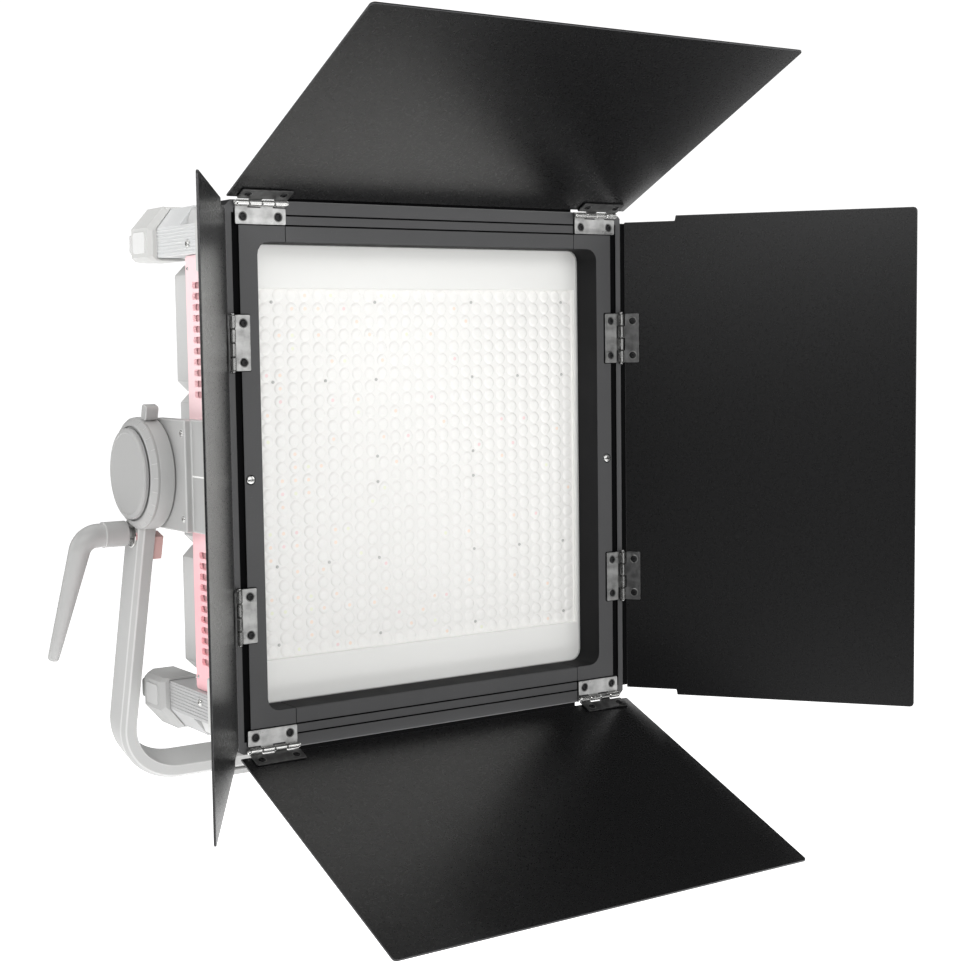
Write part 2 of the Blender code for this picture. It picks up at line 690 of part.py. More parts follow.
def build_cap(name, side, up, look):
    """Corner cushion wrapped around the outer rear corner of a guard."""
    inner_x = RAIL_X - GUARD_W - 0.001
    mesh = bmesh.new()
    slope = 0.012
    rings = []
    for y, trim in ((CAP_Y0, 0.0030), (CAP_Y0 + 0.004, 0.0), (CAP_Y1 - slope, 0.0), (CAP_Y1, slope * 0.8)):
        outer = CAP_X - trim
        top = CAP_TOP - trim
        outline = [(inner_x, CAP_LOW), (outer - 0.003, CAP_LOW), (outer, CAP_LOW + 0.003),
                   (outer, top - 0.016), (outer - 0.014, top), (inner_x, top)]
        rings.append([place(side * u, up * v, y, 'Y') for u, v in outline])
    loft(mesh, rings)
    cap = make(name, mesh, HEAD, look)
    mesh = bmesh.new()
    grow = GAP
    side_top = RAIL_LOW + RAIL_SIDE
    section = [(RAIL_X + grow, RAIL_LOW - grow), (RAIL_X + grow, side_top),
               (RAIL_X - 0.0120 + grow, BODY_H + grow), (inner_x - 0.004, BODY_H + grow),
               (inner_x - 0.004, RAIL_LOW - grow)]
    prism(mesh, [(side * x, up * z) for x, z in section], 'Y', CAP_Y0 - 0.002, GUARD_BACK + grow)
    cut(cap, mesh)


def build_bracket(name, side, look):
    """Side plate, pivot block and the axle that carries the yoke's eye."""
    start = BODY_W + 2 * GAP + PANEL_T
    xs = sorted((side * start, side * BRACKET_X))
    mesh = bmesh.new()
    half = EYE_R - 0.001
    prism(mesh, rounded((BODY_FRONT + 0.009, -half), (BODY_BACK - 0.001, half), 0.002, 1), 'X', xs[0], xs[1])
    bracket = make(name, mesh, HEAD, look)
    xs = sorted((side * (BRACKET_X - 0.004), side * BLOCK_X))
    mesh = bmesh.new()
    prism(mesh, oblong(BODY_BACK - 0.020, TILT_Y, half), 'X', xs[0], xs[1])
    fuse(bracket, mesh)
    xs = sorted((side * (BLOCK_X - 0.003), side * (EYE_OUT + 0.0002)))
    mesh = bmesh.new()
    cylinder(mesh, 'X', (TILT_Y, 0.0), AXLE_R - GAP, xs[0], xs[1], 24)
    fuse(bracket, mesh)


def build_pivot_cap(name, side, look):
    inner = side * (EYE_OUT + 0.0005)
    mesh = bmesh.new()
    turned(mesh, 'X', (TILT_Y, 0.0), [(inner, PIVOT_CAP_R), (inner + side * 0.0028, PIVOT_CAP_R),
                                      (inner + side * 0.0045, PIVOT_CAP_R - 0.003)], 36)
    make(name, mesh, HEAD, look)


# ---------------------------------------------------------------- yoke
def yoke_outline():
    """U outline in X and Z, arms ending inside the eyes."""
    top = -AXLE_R - 0.005
    points = []
    for inset in (0.0, YOKE_T):
        half = YOKE_OUT - inset
        radius = YOKE_R - inset
        bottom = -YOKE_LEN + inset
        path = [(half, top)]
        for i in range(9):
            angle = math.radians(-90 * i / 8)
            path.append((half - radius + radius * math.cos(angle),
                         bottom + radius + radius * math.sin(angle)))
        path += [(-u, v) for u, v in reversed(path)]
        points.append(path)
    return points[0] + list(reversed(points[1]))


def build_yoke(look):
    mesh = bmesh.new()
    prism(mesh, yoke_outline(), 'Y', -YOKE_BAR / 2, YOKE_BAR / 2)
    yoke = make('yoke', mesh, YOKE, look)
    inner = YOKE_OUT - YOKE_T - 0.0001
    mesh = bmesh.new()
    for side in (-1, 1):
        turned(mesh, 'X', (0.0, 0.0), [(side * inner, EYE_R), (side * (EYE_OUT - 0.003), EYE_R),
                                       (side * EYE_OUT, EYE_R - 0.004)], 36)
    fuse(yoke, mesh)
    mesh = bmesh.new()
    reach = EYE_OUT + 0.003
    cylinder(mesh, 'X', (0.0, 0.0), AXLE_R, -reach, reach, 24)
    cut(yoke, mesh)
    mesh = bmesh.new()
    cylinder(mesh, 'X', (0.0, LEVER_Z), 0.0043, -YOKE_OUT - 0.003, -YOKE_OUT + YOKE_T + 0.003, 12)
    cut(yoke, mesh)
    mesh = bmesh.new()
    cylinder(mesh, 'Z', (-0.1905, 0.0), 0.0033, EYE_R - 0.014, EYE_R + 0.004, 12)
    cut(yoke, mesh)


def build_foot(look):
    mesh = bmesh.new()
    bottom = FOOT_TOP - FOOT_T
    outline = [(FOOT_W, FOOT_TOP), (-FOOT_W, FOOT_TOP), (-FOOT_W + 0.004, bottom), (FOOT_W - 0.004, bottom)]
    prism(mesh, outline, 'Y', -0.0145, 0.0145)
    make('yoke_foot', mesh, YOKE, look)


def build_receiver(look, dark):
    mesh = bmesh.new()
    turned(mesh, 'Z', (0.0, 0.0), [(FLANGE_TOP, FLANGE_R), (TUBE_TOP, FLANGE_R), (TUBE_TOP, TUBE_R),
                                   (MOUTH, TUBE_R)], 32)
    receiver = make('stand_receiver', mesh, YOKE, look)
    mesh = bmesh.new()
    screw_z = MOUTH + 0.022
    cylinder(mesh, 'Y', (0.0, screw_z), 0.0070, SOCKET_R + 0.002, TUBE_R + 0.006, 16)
    fuse(receiver, mesh)
    mesh = bmesh.new()
    cylinder(mesh, 'Z', (0.0, 0.0), SOCKET_R, MOUTH - 0.002, MOUTH + SOCKET_DEPTH, 24)
    cut(receiver, mesh)
    mesh = bmesh.new()
    cylinder(mesh, 'Y', (0.0, screw_z), 0.0033, 0.004, TUBE_R + 0.009, 12)
    cut(receiver, mesh)
    mesh = bmesh.new()
    turned(mesh, 'Y', (0.0, 0.0), [(-0.0210, 0.0030), (0.0, 0.0030), (0.0, 0.0075), (0.0060, 0.0075),
                                   (0.0100, 0.0060)], 16)
    screw = make('receiver_screw', mesh, YOKE @ Matrix.Translation((0, 0.0300, screw_z)), dark)
    mesh = bmesh.new()
    cylinder(mesh, 'X', (0.0045, 0.0), 0.0032, -0.0260, 0.0260, 12)
    fuse(screw, mesh)


def build_lever(look):
    """Bent clamping lever: threaded shank, round hub and a tapering handle."""
    path = [(-0.1880, 0.0, 0.0040), (-0.2012, 0.0, 0.0040), (-0.2012, 0.0, LEVER_R), (-0.2190, 0.0, LEVER_R),
            (-0.2195, 0.0, 0.0092), (-0.2240, -0.0003, 0.0092)]
    rings = []
    for x, z, radius in path:
        rings.append([place(u, v, x, 'X') for u, v in circle(0.0, z, radius, 16)])
    bend = 0.013
    lean_out = math.radians(9)
    for i in range(1, 6):
        angle = (math.pi / 2 - lean_out) * i / 5
        x = -0.2240 - bend * math.sin(angle)
        z = -0.0003 - bend * (1 - math.cos(angle))
        radius = 0.0092 - 0.0002 * i
        rings.append([(x - v * math.sin(angle), u, z + v * math.cos(angle))
                      for u, v in circle(0.0, 0.0, radius, 16)])
    angle = math.pi / 2 - lean_out
    length = 0.092
    x += -length * math.cos(angle)
    z += -length * math.sin(angle)
    rings.append([(x - v * math.sin(angle), u, z + v * math.cos(angle))
                  for u, v in circle(0.0, 0.0, 0.0043, 16)])
    mesh = bmesh.new()
    loft(mesh, rings)
    make('tilt_lever', mesh, YOKE @ Matrix.Translation((0, 0, LEVER_Z)), look)


def build_small_yoke_parts(tab_look, latch_look):
    mesh = bmesh.new()
    turned(mesh, 'Z', (0.0, 0.0), [(-0.0120, 0.0030), (0.0010, 0.0030)], 12)
    tab = make('lock_tab', mesh, YOKE @ Matrix.Translation((-0.1905, 0, EYE_R)), tab_look)
    mesh = bmesh.new()
    prism(mesh, rounded((-0.0045, 0.0004), (0.0045, 0.0115), 0.0022, 3), 'X', -0.0050, 0.0050)
    fuse(tab, mesh)
    mesh = bmesh.new()
    inner = YOKE_OUT - YOKE_T - 0.0003
    outline = [(-0.0130, 0.0030), (-0.0010, 0.0030), (-0.0010, -0.0130), (-0.0050, -0.0160),
               (-0.0130, -0.0160)]
    prism(mesh, outline, 'X', -inner, -inner + 0.0075)
    make('release_latch', mesh, YOKE @ Matrix.Translation((0, 0, -0.0505)), latch_look)


# ---------------------------------------------------------------- assembly
def build_all():
    charcoal = material('frame_charcoal', CHARCOAL, 0.42, 0.3)
    satin_black = material('leaf_black', BLACK, 0.38, 0.3)
    nickel = material('hinge_nickel', NICKEL, 0.28, 1.0)
    pale = material('body_pale_grey', PALE, 0.45, 0.1)
    deep = material('yoke_grey', PALE_DEEP, 0.42, 0.2)
    ribbed = material('guard_pale', RIBBED, 0.40, 0.3)
    rose = material('side_panel_rose', ROSE, 0.50)
    white = material('window_white', WHITE, 0.35)
    lens = material('lens_white', (0.86, 0.86, 0.84), 0.25)
    pad = material('cap_rubber', (0.56, 0.56, 0.55), 0.70)
    dark = material('control_dark', (0.05, 0.05, 0.05), 0.45)
    glass = material('display_glass', (0.02, 0.02, 0.025), 0.10)
    alloy = material('heat_sink_alloy', (0.50, 0.50, 0.51), 0.40, 1.0)
    board = material('board_green', (0.05, 0.16, 0.08), 0.50)

    build_stile('frame_stile_left', -1, charcoal)
    build_stile('frame_stile_right', 1, charcoal)
    build_rail('frame_rail_top', 1, SEAL_TOP, charcoal)
    build_rail('frame_rail_bottom', -1, SEAL_BOTTOM, charcoal)

    up_axis = FRAME_H - TOP_AXIS_IN
    side_axis = FRAME_W - SIDE_AXIS_IN
    across = (-TOP_HINGE_X, TOP_HINGE_X)
    upright = (-SIDE_HINGE_Z, SIDE_HINGE_Z)
    build_leaf('top', 0, TOP_UP, (0, up_axis), across, LEAF_TOP_START, LEAF_TOP_L, LEAF_TOP_W, 0.0,
               satin_black, nickel)
    build_leaf('right', 90, RIGHT_OUT, (side_axis, 0), upright, LEAF_SIDE_START, LEAF_SIDE_L, LEAF_SIDE_W,
               LEAF_STEP, satin_black, nickel)
    build_leaf('bottom', 180, BOTTOM_DOWN, (0, -up_axis), across, LEAF_TOP_START, LEAF_TOP_L, LEAF_TOP_W,
               0.0, satin_black, nickel)
    build_leaf('left', -90, LEFT_OUT, (-side_axis, 0), upright, LEAF_SIDE_START, LEAF_SIDE_L, LEAF_SIDE_W,
               LEAF_STEP, satin_black, nickel)

    build_shell(pale)
    build_window(white, lens)
    build_heat_sink(alloy, build_board(white))
    build_side_panel('side_panel_left', -1, rose)
    build_side_panel('side_panel_right', 1, rose)
    build_cover('rear_cover_upper', 1, pale)
    build_cover('rear_cover_lower', -1, pale)
    build_fan('fan_upper', 1, dark)
    build_fan('fan_lower', -1, dark)
    build_control_box(pale)
    build_controls(dark, glass, board)
    build_guard('guard_upper', 1, ribbed)
    build_guard('guard_lower', -1, ribbed)
    for side, side_tag in ((-1, 'left'), (1, 'right')):
        for up, up_tag in ((1, 'upper'), (-1, 'lower')):
            build_cap('corner_cap_' + up_tag + '_' + side_tag, side, up, pad)
        build_bracket('pivot_bracket_' + side_tag, side, pale)
        build_pivot_cap('pivot_cap_' + side_tag, side, deep)

    build_yoke(deep)
    build_foot(deep)
    build_receiver(nickel, dark)
    build_lever(deep)
    build_small_yoke_parts(deep, rose)


build_all()
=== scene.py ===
"""Visual model of a studio LED panel light: barn doors, lamp head, tilting yoke."""
import json
import math
import random

import bmesh
import bpy
from mathutils import Matrix, Vector

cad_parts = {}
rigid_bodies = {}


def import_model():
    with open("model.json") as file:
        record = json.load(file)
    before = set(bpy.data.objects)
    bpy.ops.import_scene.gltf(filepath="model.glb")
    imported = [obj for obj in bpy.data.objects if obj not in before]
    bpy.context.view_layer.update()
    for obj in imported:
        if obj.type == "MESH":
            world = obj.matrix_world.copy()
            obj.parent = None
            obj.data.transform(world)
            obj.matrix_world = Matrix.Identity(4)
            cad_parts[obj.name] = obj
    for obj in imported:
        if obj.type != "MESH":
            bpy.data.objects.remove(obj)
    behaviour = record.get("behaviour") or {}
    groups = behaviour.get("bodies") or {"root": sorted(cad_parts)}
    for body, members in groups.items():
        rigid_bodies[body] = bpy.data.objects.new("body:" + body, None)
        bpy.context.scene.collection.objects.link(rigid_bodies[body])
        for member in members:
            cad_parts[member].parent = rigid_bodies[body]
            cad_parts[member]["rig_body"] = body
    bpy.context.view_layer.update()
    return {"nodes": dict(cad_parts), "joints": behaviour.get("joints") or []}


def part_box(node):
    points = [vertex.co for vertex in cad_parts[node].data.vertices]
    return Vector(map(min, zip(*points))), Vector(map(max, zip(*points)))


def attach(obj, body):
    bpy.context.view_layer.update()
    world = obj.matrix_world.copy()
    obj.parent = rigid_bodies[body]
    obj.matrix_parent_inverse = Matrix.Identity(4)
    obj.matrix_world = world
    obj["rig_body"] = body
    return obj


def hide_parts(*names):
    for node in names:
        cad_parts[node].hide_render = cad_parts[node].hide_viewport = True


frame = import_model()
NODES = frame["nodes"]
JOINTS = {joint["name"]: joint for joint in frame["joints"]}

# ------------------------------------------------------------------ frames of reference
stile_low, stile_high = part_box("frame_stile_left")
HEAD = Matrix.Translation((0.0, stile_low.y, 0.5 * (stile_low.z + stile_high.z)))
PIVOT = Vector(JOINTS["head_tilt"]["pos_m"])
YOKE = Matrix.Translation(PIVOT) @ Matrix.Rotation(math.atan2(-PIVOT.y, PIVOT.z), 4, "X")
TO_HEAD = HEAD.inverted()


def head_box(node):
    """A node's box in the head frame: origin on the front of the frame, at its middle."""
    low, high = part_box(node)
    return TO_HEAD @ low, TO_HEAD @ high


# ------------------------------------------------------------------ materials
EVEN = (1, 1, 1)        # noise that is not stretched along an axis
FLECK_GREY = (0.5, 0.5, 0.5)


def srgb(red, green, blue):
    """Linear colour from 0-255 display values."""
    out = []
    for value in (red, green, blue):
        value /= 255.0
        out.append(value / 12.92 if value <= 0.04045 else ((value + 0.055) / 1.055) ** 2.4)
    return tuple(out)


class Look:
    """One node material under construction."""

    def __init__(self, name, colour, roughness, metallic=0.0):
        self.material = bpy.data.materials.new(name)
        self.material.use_nodes = True
        self.nodes = self.material.node_tree.nodes
        self.links = self.material.node_tree.links
        self.shader = self.nodes["Principled BSDF"]
        self.shader.inputs["Metallic"].default_value = metallic
        self.shader.inputs["Roughness"].default_value = roughness
        self.colour = colour
        self.roughness = roughness
        self.coords = self.nodes.new("ShaderNodeTexCoord").outputs["Object"]

    def link(self, source, target):
        self.links.new(source, target)

    def noise(self, scale, detail=3.0, stretch=EVEN):
        mapping = self.nodes.new("ShaderNodeMapping")
        mapping.inputs["Scale"].default_value = stretch
        self.link(self.coords, mapping.inputs["Vector"])
        made = self.nodes.new("ShaderNodeTexNoise")
        made.inputs["Scale"].default_value = scale
        made.inputs["Detail"].default_value = detail
        self.link(mapping.outputs["Vector"], made.inputs["Vector"])
        return made.outputs["Fac"]

    def remap(self, source, low, high, to_low, to_high):
        made = self.nodes.new("ShaderNodeMapRange")
        for key, value in zip(("From Min", "From Max", "To Min", "To Max"), (low, high, to_low, to_high)):
            made.inputs[key].default_value = value
        self.link(source, made.inputs["Value"])
        return made.outputs["Result"]

    def mix(self, factor, first, second):
        """Colour mix; first and second are colours or sockets, factor is a socket."""
        made = self.nodes.new("ShaderNodeMix")
        made.data_type = "RGBA"
        self.link(factor, made.inputs[0])
        for key, value in ((6, first), (7, second)):
            if isinstance(value, bpy.types.NodeSocket):
                self.link(value, made.inputs[key])
            else:
                made.inputs[key].default_value = (*value, 1.0)
        return made.outputs[2]

    def paint(self, spread, scale, fleck=0.0, fleck_scale=900.0, fleck_to=FLECK_GREY):
        """Broad tone drift plus optional fine flecks."""
        dark = [channel * (1 - spread) for channel in self.colour]
        light = [min(1.0, channel * (1 + spread)) for channel in self.colour]
        drift = self.remap(self.noise(scale), 0.32, 0.68, 0.0, 1.0)
        tone = self.mix(drift, dark, light)
        if fleck:
            spots = self.remap(self.noise(fleck_scale, 1.0), 0.66, 0.78, 0.0, fleck)
            tone = self.mix(spots, tone, fleck_to)
        self.link(tone, self.shader.inputs["Base Color"])
        return self

    def finish_rough(self, spread, scale, stretch=EVEN):
        """Roughness drifting by spread either side of its base value."""
        value = self.remap(self.noise(scale, 4.0, stretch), 0.3, 0.7, self.roughness - spread,
                           self.roughness + spread)
        self.link(value, self.shader.inputs["Roughness"])
        return self

    def relief(self, *layers):
        """Bump from (scale, strength, stretch) noise layers."""
        previous = None
        for scale, strength, stretch in layers:
            bump = self.nodes.new("ShaderNodeBump")
            bump.inputs["Strength"].default_value = strength
            bump.inputs["Distance"].default_value = 0.0002
            self.link(self.noise(scale, 2.0, stretch), bump.inputs["Height"])
            if previous:
                self.link(previous, bump.inputs["Normal"])
            previous = bump.outputs["Normal"]
        self.link(previous, self.shader.inputs["Normal"])
        return self

    def set(self, **values):
        """Fixed shader values; an underscore stands for a space in the socket's name."""
        for key, value in values.items():
            self.shader.inputs[key.replace("_", " ")].default_value = value
        return self


def coated(name, colour, roughness, metallic=0.0, spread=0.06, grain=1400.0, depth=0.10, fleck=0.0,
           fleck_to=FLECK_GREY):
    """Powder-coated or moulded surface with a fine even grain."""
    made = Look(name, colour, roughness, metallic)
    made.paint(spread, 11.0, fleck, 900.0, fleck_to).finish_rough(0.04, 60.0)
    made.relief((grain, depth, EVEN), (90.0, 0.03, EVEN))
    return made.material


def brushed(name, colour, roughness, stretch, spread=0.16, depth=0.12):
    """Plated metal with cloudy patches; stretch draws its grain out along one direction."""
    made = Look(name, colour, roughness, 1.0)
    made.paint(spread, 160.0).finish_rough(0.10, 220.0, stretch)
    made.relief((300.0, depth, stretch))
    return made.material


def painted_glow(material):
    """Painted glow: a little white emission that lifts the shade on the unlit window, lens sheet and LED
    domes.
    """
    shader = material.node_tree.nodes["Principled BSDF"]
    shader.inputs["Emission Color"].default_value = (1.0, 1.0, 0.99, 1.0)
    shader.inputs["Emission Strength"].default_value = 0.12
    return material


def smooth_coat(name, colour, roughness):
    """Satin sheet-metal coat: broad soft reflections and a barely visible grain."""
    made = Look(name, colour, roughness)
    made.paint(0.05, 4.0).finish_rough(0.018, 500.0)
    made.set(Specular_IOR_Level=0.44)
    return made.material


def matte_black(name, colour, level):
    """Dead matte black with almost no sheen."""
    made = Look(name, colour, 0.70)
    made.paint(0.12, 30.0).finish_rough(0.05, 60.0).relief((900.0, 0.15, EVEN))
    made.set(Specular_IOR_Level=level)
    return made.material


leaf_black = smooth_coat("leaf_satin_black", srgb(9, 9, 10), 0.28)
# Lighter edge coat on the black leaves: partly wear, partly a painted highlight along broken edges.
leaf_edge_wear_highlight = coated("leaf_edge_wear_and_painted_highlight", srgb(64, 64, 65), 0.38, 0.2, 0.20, 700.0, 0.12)
charcoal = coated("frame_charcoal", srgb(68, 68, 69), 0.50, 0.0, 0.05, 1500.0, 0.10, 0.05)
# Dark blacks for the frame's recesses: painted shade in jambs and grooves, with the seal's black partly its
# own and partly painted shade.
jamb_painted_shade = matte_black("jamb_painted_shade", srgb(27, 27, 28), 0.15)
seal_and_shade_black = matte_black("seal_and_shade_black", srgb(8, 8, 9), 0.04)
# Hinge plates are one nickel in three copies, lighter or darker by how they face: painted light and shade.
plate_across_lit_tone = brushed("hinge_plate_across_lit_tone", srgb(178, 178, 177), 0.34, (0.15, 1, 1), 0.22, 0.02)
plate_upright_shade_tone = brushed("hinge_plate_upright_shade_tone", srgb(158, 158, 157), 0.34, (1, 1, 0.15), 0.26, 0.02)
plate_leaf_shade_tone = brushed("hinge_plate_leaf_shade_tone", srgb(104, 104, 104), 0.38, EVEN, 0.26, 0.02)
# A darker copy of the barrel nickel for upright hinges: painted shade and dark reflection.
barrel_shade_tone = brushed("hinge_barrel_shade_tone", srgb(138, 138, 137), 0.22, EVEN, 0.10, 0.01)
bright_nickel = brushed("hinge_barrel", srgb(200, 200, 198), 0.20, EVEN, 0.08, 0.01)
screw_rim = brushed("screw_rim", srgb(120, 120, 119), 0.36, EVEN, 0.10, 0.02)
black_screw = coated("screw_black", srgb(30, 30, 31), 0.34, 0.6, 0.2, 1800.0, 0.12)
silver_screw = brushed("screw_silver", srgb(206, 206, 204), 0.26, EVEN, 0.10, 0.03)
# The window border carries a painted glow that brightens its shaded parts.
border_white = painted_glow(coated("window_border", srgb(231, 231, 228), 0.38, 0.0, 0.015, 1200.0, 0.04))
pale_body = coated("body_pale_grey", srgb(206, 206, 205), 0.46, 0.0, 0.025, 1300.0, 0.10, 0.05)
pale_deep = coated("yoke_grey", srgb(174, 174, 173), 0.42, 0.0, 0.03, 1300.0, 0.12, 0.05, (0.4, 0.4, 0.4))
pale_edge = coated("yoke_edge", srgb(196, 196, 195), 0.36, 0.0, 0.04, 900.0, 0.10)
ribbed = coated("guard_light", srgb(216, 217, 217), 0.40, 0.0, 0.02, 1300.0, 0.08)
ribbed_low = coated("guard_mid", srgb(180, 180, 180), 0.40, 0.0, 0.02, 1300.0, 0.08)
cushion_low = coated("cap_rubber_mid", srgb(172, 172, 171), 0.62, 0.0, 0.03, 700.0, 0.20)
pad_low = coated("cap_pad_mid", srgb(188, 188, 187), 0.58, 0.0, 0.02, 700.0, 0.16)
disc_grey = coated("pivot_disc_grey", srgb(172, 172, 171), 0.48, 0.0, 0.02, 1300.0, 0.08)
baffle_rose = coated("vent_baffle", srgb(218, 182, 184), 0.60, 0.0, 0.03, 900.0, 0.12)
cushion = coated("cap_rubber", srgb(204, 204, 202), 0.62, 0.0, 0.03, 700.0, 0.20)
cushion_pad = coated("cap_pad", srgb(228, 228, 227), 0.58, 0.0, 0.02, 700.0, 0.16)
rose_deep = coated("latch_rose", srgb(205, 168, 164), 0.45, 0.0, 0.04)
control_dark = coated("control_dark", srgb(96, 96, 97), 0.50, 0.0, 0.06, 1500.0, 0.14, 0.05)
slot_dark = coated("fan_dark", srgb(110, 108, 108), 0.55, 0.0, 0.05)
index_white = coated("index_white", srgb(246, 246, 244), 0.45, 0.0, 0.01)
alloy = brushed("heat_sink_alloy", srgb(170, 172, 175), 0.38, (1, 1, 0.1))
board_green = coated("board_green", srgb(70, 120, 84), 0.45, 0.0, 0.15, 400.0, 0.2)


def make_rose():
    """Vented side panel: pale at the top, fuller towards the bottom."""
    made = Look("side_panel_rose", srgb(255, 222, 225), 0.50)
    split = made.nodes.new("ShaderNodeSeparateXYZ")
    made.link(made.coords, split.inputs["Vector"])
    mid = HEAD.translation.z
    fall = made.remap(split.outputs["Z"], mid - 0.09, mid + 0.05, 1.0, 0.0)
    tone = made.mix(fall, made.colour, srgb(250, 190, 196))
    drift = made.remap(made.noise(14.0), 0.3, 0.7, 0.0, 0.25)
    tone = made.mix(drift, tone, srgb(250, 222, 224))
    made.link(tone, made.shader.inputs["Base Color"])
    made.finish_rough(0.04, 60.0).relief((1300.0, 0.10, EVEN))
    return made.material


def make_lens(name, colour, roughness, spread, coat):
    """Glossy moulded white or tinted lens material, with a painted glow that lifts its shade."""
    made = Look(name, colour, roughness)
    made.paint(spread, 30.0).finish_rough(0.03, 120.0).relief((300.0, 0.05, EVEN))
    made.set(Coat_Weight=coat, Coat_Roughness=0.08)
    return painted_glow(made.material)


def make_display():
    """Dark glass of the rear display."""
    made = Look("display_glass", srgb(40, 42, 46), 0.14)
    made.paint(0.10, 30.0).finish_rough(0.03, 90.0).relief((120.0, 0.02, EVEN))
    made.set(Coat_Weight=0.6, Coat_Roughness=0.05)
    return made.material


rose = make_rose()
# The lens sheet and LED domes carry the same painted glow.
lens_base = make_lens("lens_sheet_white", srgb(233, 232, 229), 0.36, 0.01, 0.1)
bead_clear = make_lens("bead_clear", srgb(236, 235, 232), 0.30, 0.01, 0.25)
bead_amber = make_lens("bead_amber", srgb(241, 222, 206), 0.30, 0.03, 0.25)
bead_red = make_lens("bead_red", srgb(238, 212, 212), 0.30, 0.03, 0.25)
bead_lime = make_lens("bead_lime", srgb(232, 234, 212), 0.30, 0.03, 0.25)
pin_grey = coated("pin_grey", srgb(200, 200, 198), 0.5)
display_glass = make_display()
screen_lit = coated("screen_marks", srgb(176, 190, 198), 0.40)


# ------------------------------------------------------------------ mesh helpers
def place(u, v, w, axis):
    """Point with outline coordinates u, v and position w along the axis."""
    if axis == "X":
        return (w, u, v)
    if axis == "Y":
        return (u, w, v)
    return (u, v, w)


def loft(mesh, rings, slot=0, closed=False):
    """Skin through rings of equal length; closed joins the last ring to the first."""
    loops = [[mesh.verts.new(point) for point in ring] for ring in rings]
    count = len(loops[0])
    pairs = list(zip(loops, loops[1:]))
    if closed:
        pairs.append((loops[-1], loops[0]))
    made = []
    for lower, upper in pairs:
        for i in range(count):
            j = (i + 1) % count
            made.append(mesh.faces.new((lower[i], lower[j], upper[j], upper[i])))
    if not closed:
        made.append(mesh.faces.new(list(reversed(loops[0]))))
        made.append(mesh.faces.new(loops[-1]))
    for face in made:
        face.material_index = slot
    return made


def prism(mesh, outline, axis, start, end, slot=0):
    """Straight bar with this outline from start to end along the axis."""
    return loft(mesh, [[place(u, v, w, axis) for u, v in outline] for w in (start, end)], slot)


def box(mesh, low, high, slot=0):
    outline = [(low[0], low[1]), (high[0], low[1]), (high[0], high[1]), (low[0], high[1])]
    return prism(mesh, outline, "Z", low[2], high[2], slot)


def circle(u, v, radius, count, sides=0):
    """Round outline, or a polygon with that many flats drawn on the same points."""
    points = []
    for i in range(count):
        angle = 2 * math.pi * i / count
        reach = radius
        if sides:
            part = 2 * math.pi / sides
            reach = radius * math.cos(part / 2) / math.cos(angle % part - part / 2)
        points.append((u + reach * math.cos(angle), v + reach * math.sin(angle)))
    return points


def turned(mesh, axis, centre, profile, count=48, slot=0, closed=False):
    """Round solid from (position, radius[, sides]) steps along the axis."""
    rings = []
    for step in profile:
        outline = circle(centre[0], centre[1], step[1], count, step[2] if len(step) > 2 else 0)
        rings.append([place(u, v, step[0], axis) for u, v in outline])
    return loft(mesh, rings, slot, closed)


def rounded(low, high, radius, steps=6):
    """Outline of a rectangle with rounded corners."""
    corners = [(high[0] - radius, high[1] - radius, 0), (low[0] + radius, high[1] - radius, 90),
               (low[0] + radius, low[1] + radius, 180), (high[0] - radius, low[1] + radius, 270)]
    points = []
    for u, v, first in corners:
        for i in range(steps + 1):
            angle = math.radians(first + 90 * i / steps)
            points.append((u + radius * math.cos(angle), v + radius * math.sin(angle)))
    return points


def bevelled(made, width, segments, edge_slot, angle):
    """Broken edges; edge_slot is the slot of the new faces, -1 keeps the neighbour's."""
    step = made.modifiers.new("edge_break", "BEVEL")
    step.width = width
    step.segments = segments
    step.limit_method = "ANGLE"
    step.angle_limit = math.radians(angle)
    step.harden_normals = True
    step.material = edge_slot
    step.use_clamp_overlap = True


def piece(name, mesh, matrix, looks, body, nodes=(), bevel=0.0, segments=2, edge_slot=-1, angle=32):
    """Object from a bmesh, smooth except at real edges, riding on a body."""
    bmesh.ops.recalc_face_normals(mesh, faces=mesh.faces)
    data = bpy.data.meshes.new(name)
    mesh.to_mesh(data)
    mesh.free()
    for look in looks:
        data.materials.append(look)
    data.shade_smooth()
    data.set_sharp_from_angle(angle=math.radians(angle))
    made = bpy.data.objects.new(name, data)
    bpy.context.scene.collection.objects.link(made)
    made.matrix_world = matrix
    if bevel:
        bevelled(made, bevel, segments, edge_slot, angle)
    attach(made, body)
    if nodes:
        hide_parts(*nodes)
    return made


def refined(node, looks, bevel=0.0004, segments=2, edge_slot=-1, choose=None):
    """A CAD node's shape as clean faces with broken edges, in place of the node.

    choose picks a material slot from a face's centre and normal in the head frame.
    """
    source = NODES[node]
    mesh = bmesh.new()
    mesh.from_mesh(source.data)
    bmesh.ops.remove_doubles(mesh, verts=mesh.verts, dist=2e-6)
    bmesh.ops.dissolve_limit(mesh, angle_limit=math.radians(0.5), verts=mesh.verts, edges=mesh.edges)
    to_head = TO_HEAD @ source.matrix_world
    turn = to_head.to_3x3()
    for face in mesh.faces:
        face.material_index = choose(to_head @ face.calc_center_median(), turn @ face.normal) if choose else 0
    return piece(node + "_finish", mesh, source.matrix_world.copy(), looks, source["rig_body"], (node,),
                 bevel, segments, edge_slot)


def repaint(node, look):
    """Keep the CAD node as the visible piece, in another material."""
    data = NODES[node].data
    if not data.materials:
        data.materials.append(look)
    for index in range(len(data.materials)):
        data.materials[index] = look


# ------------------------------------------------------------------ screws
SOCKET = 0.5            # socket width of a screw over its head width
SOCKET_SIDES = 6


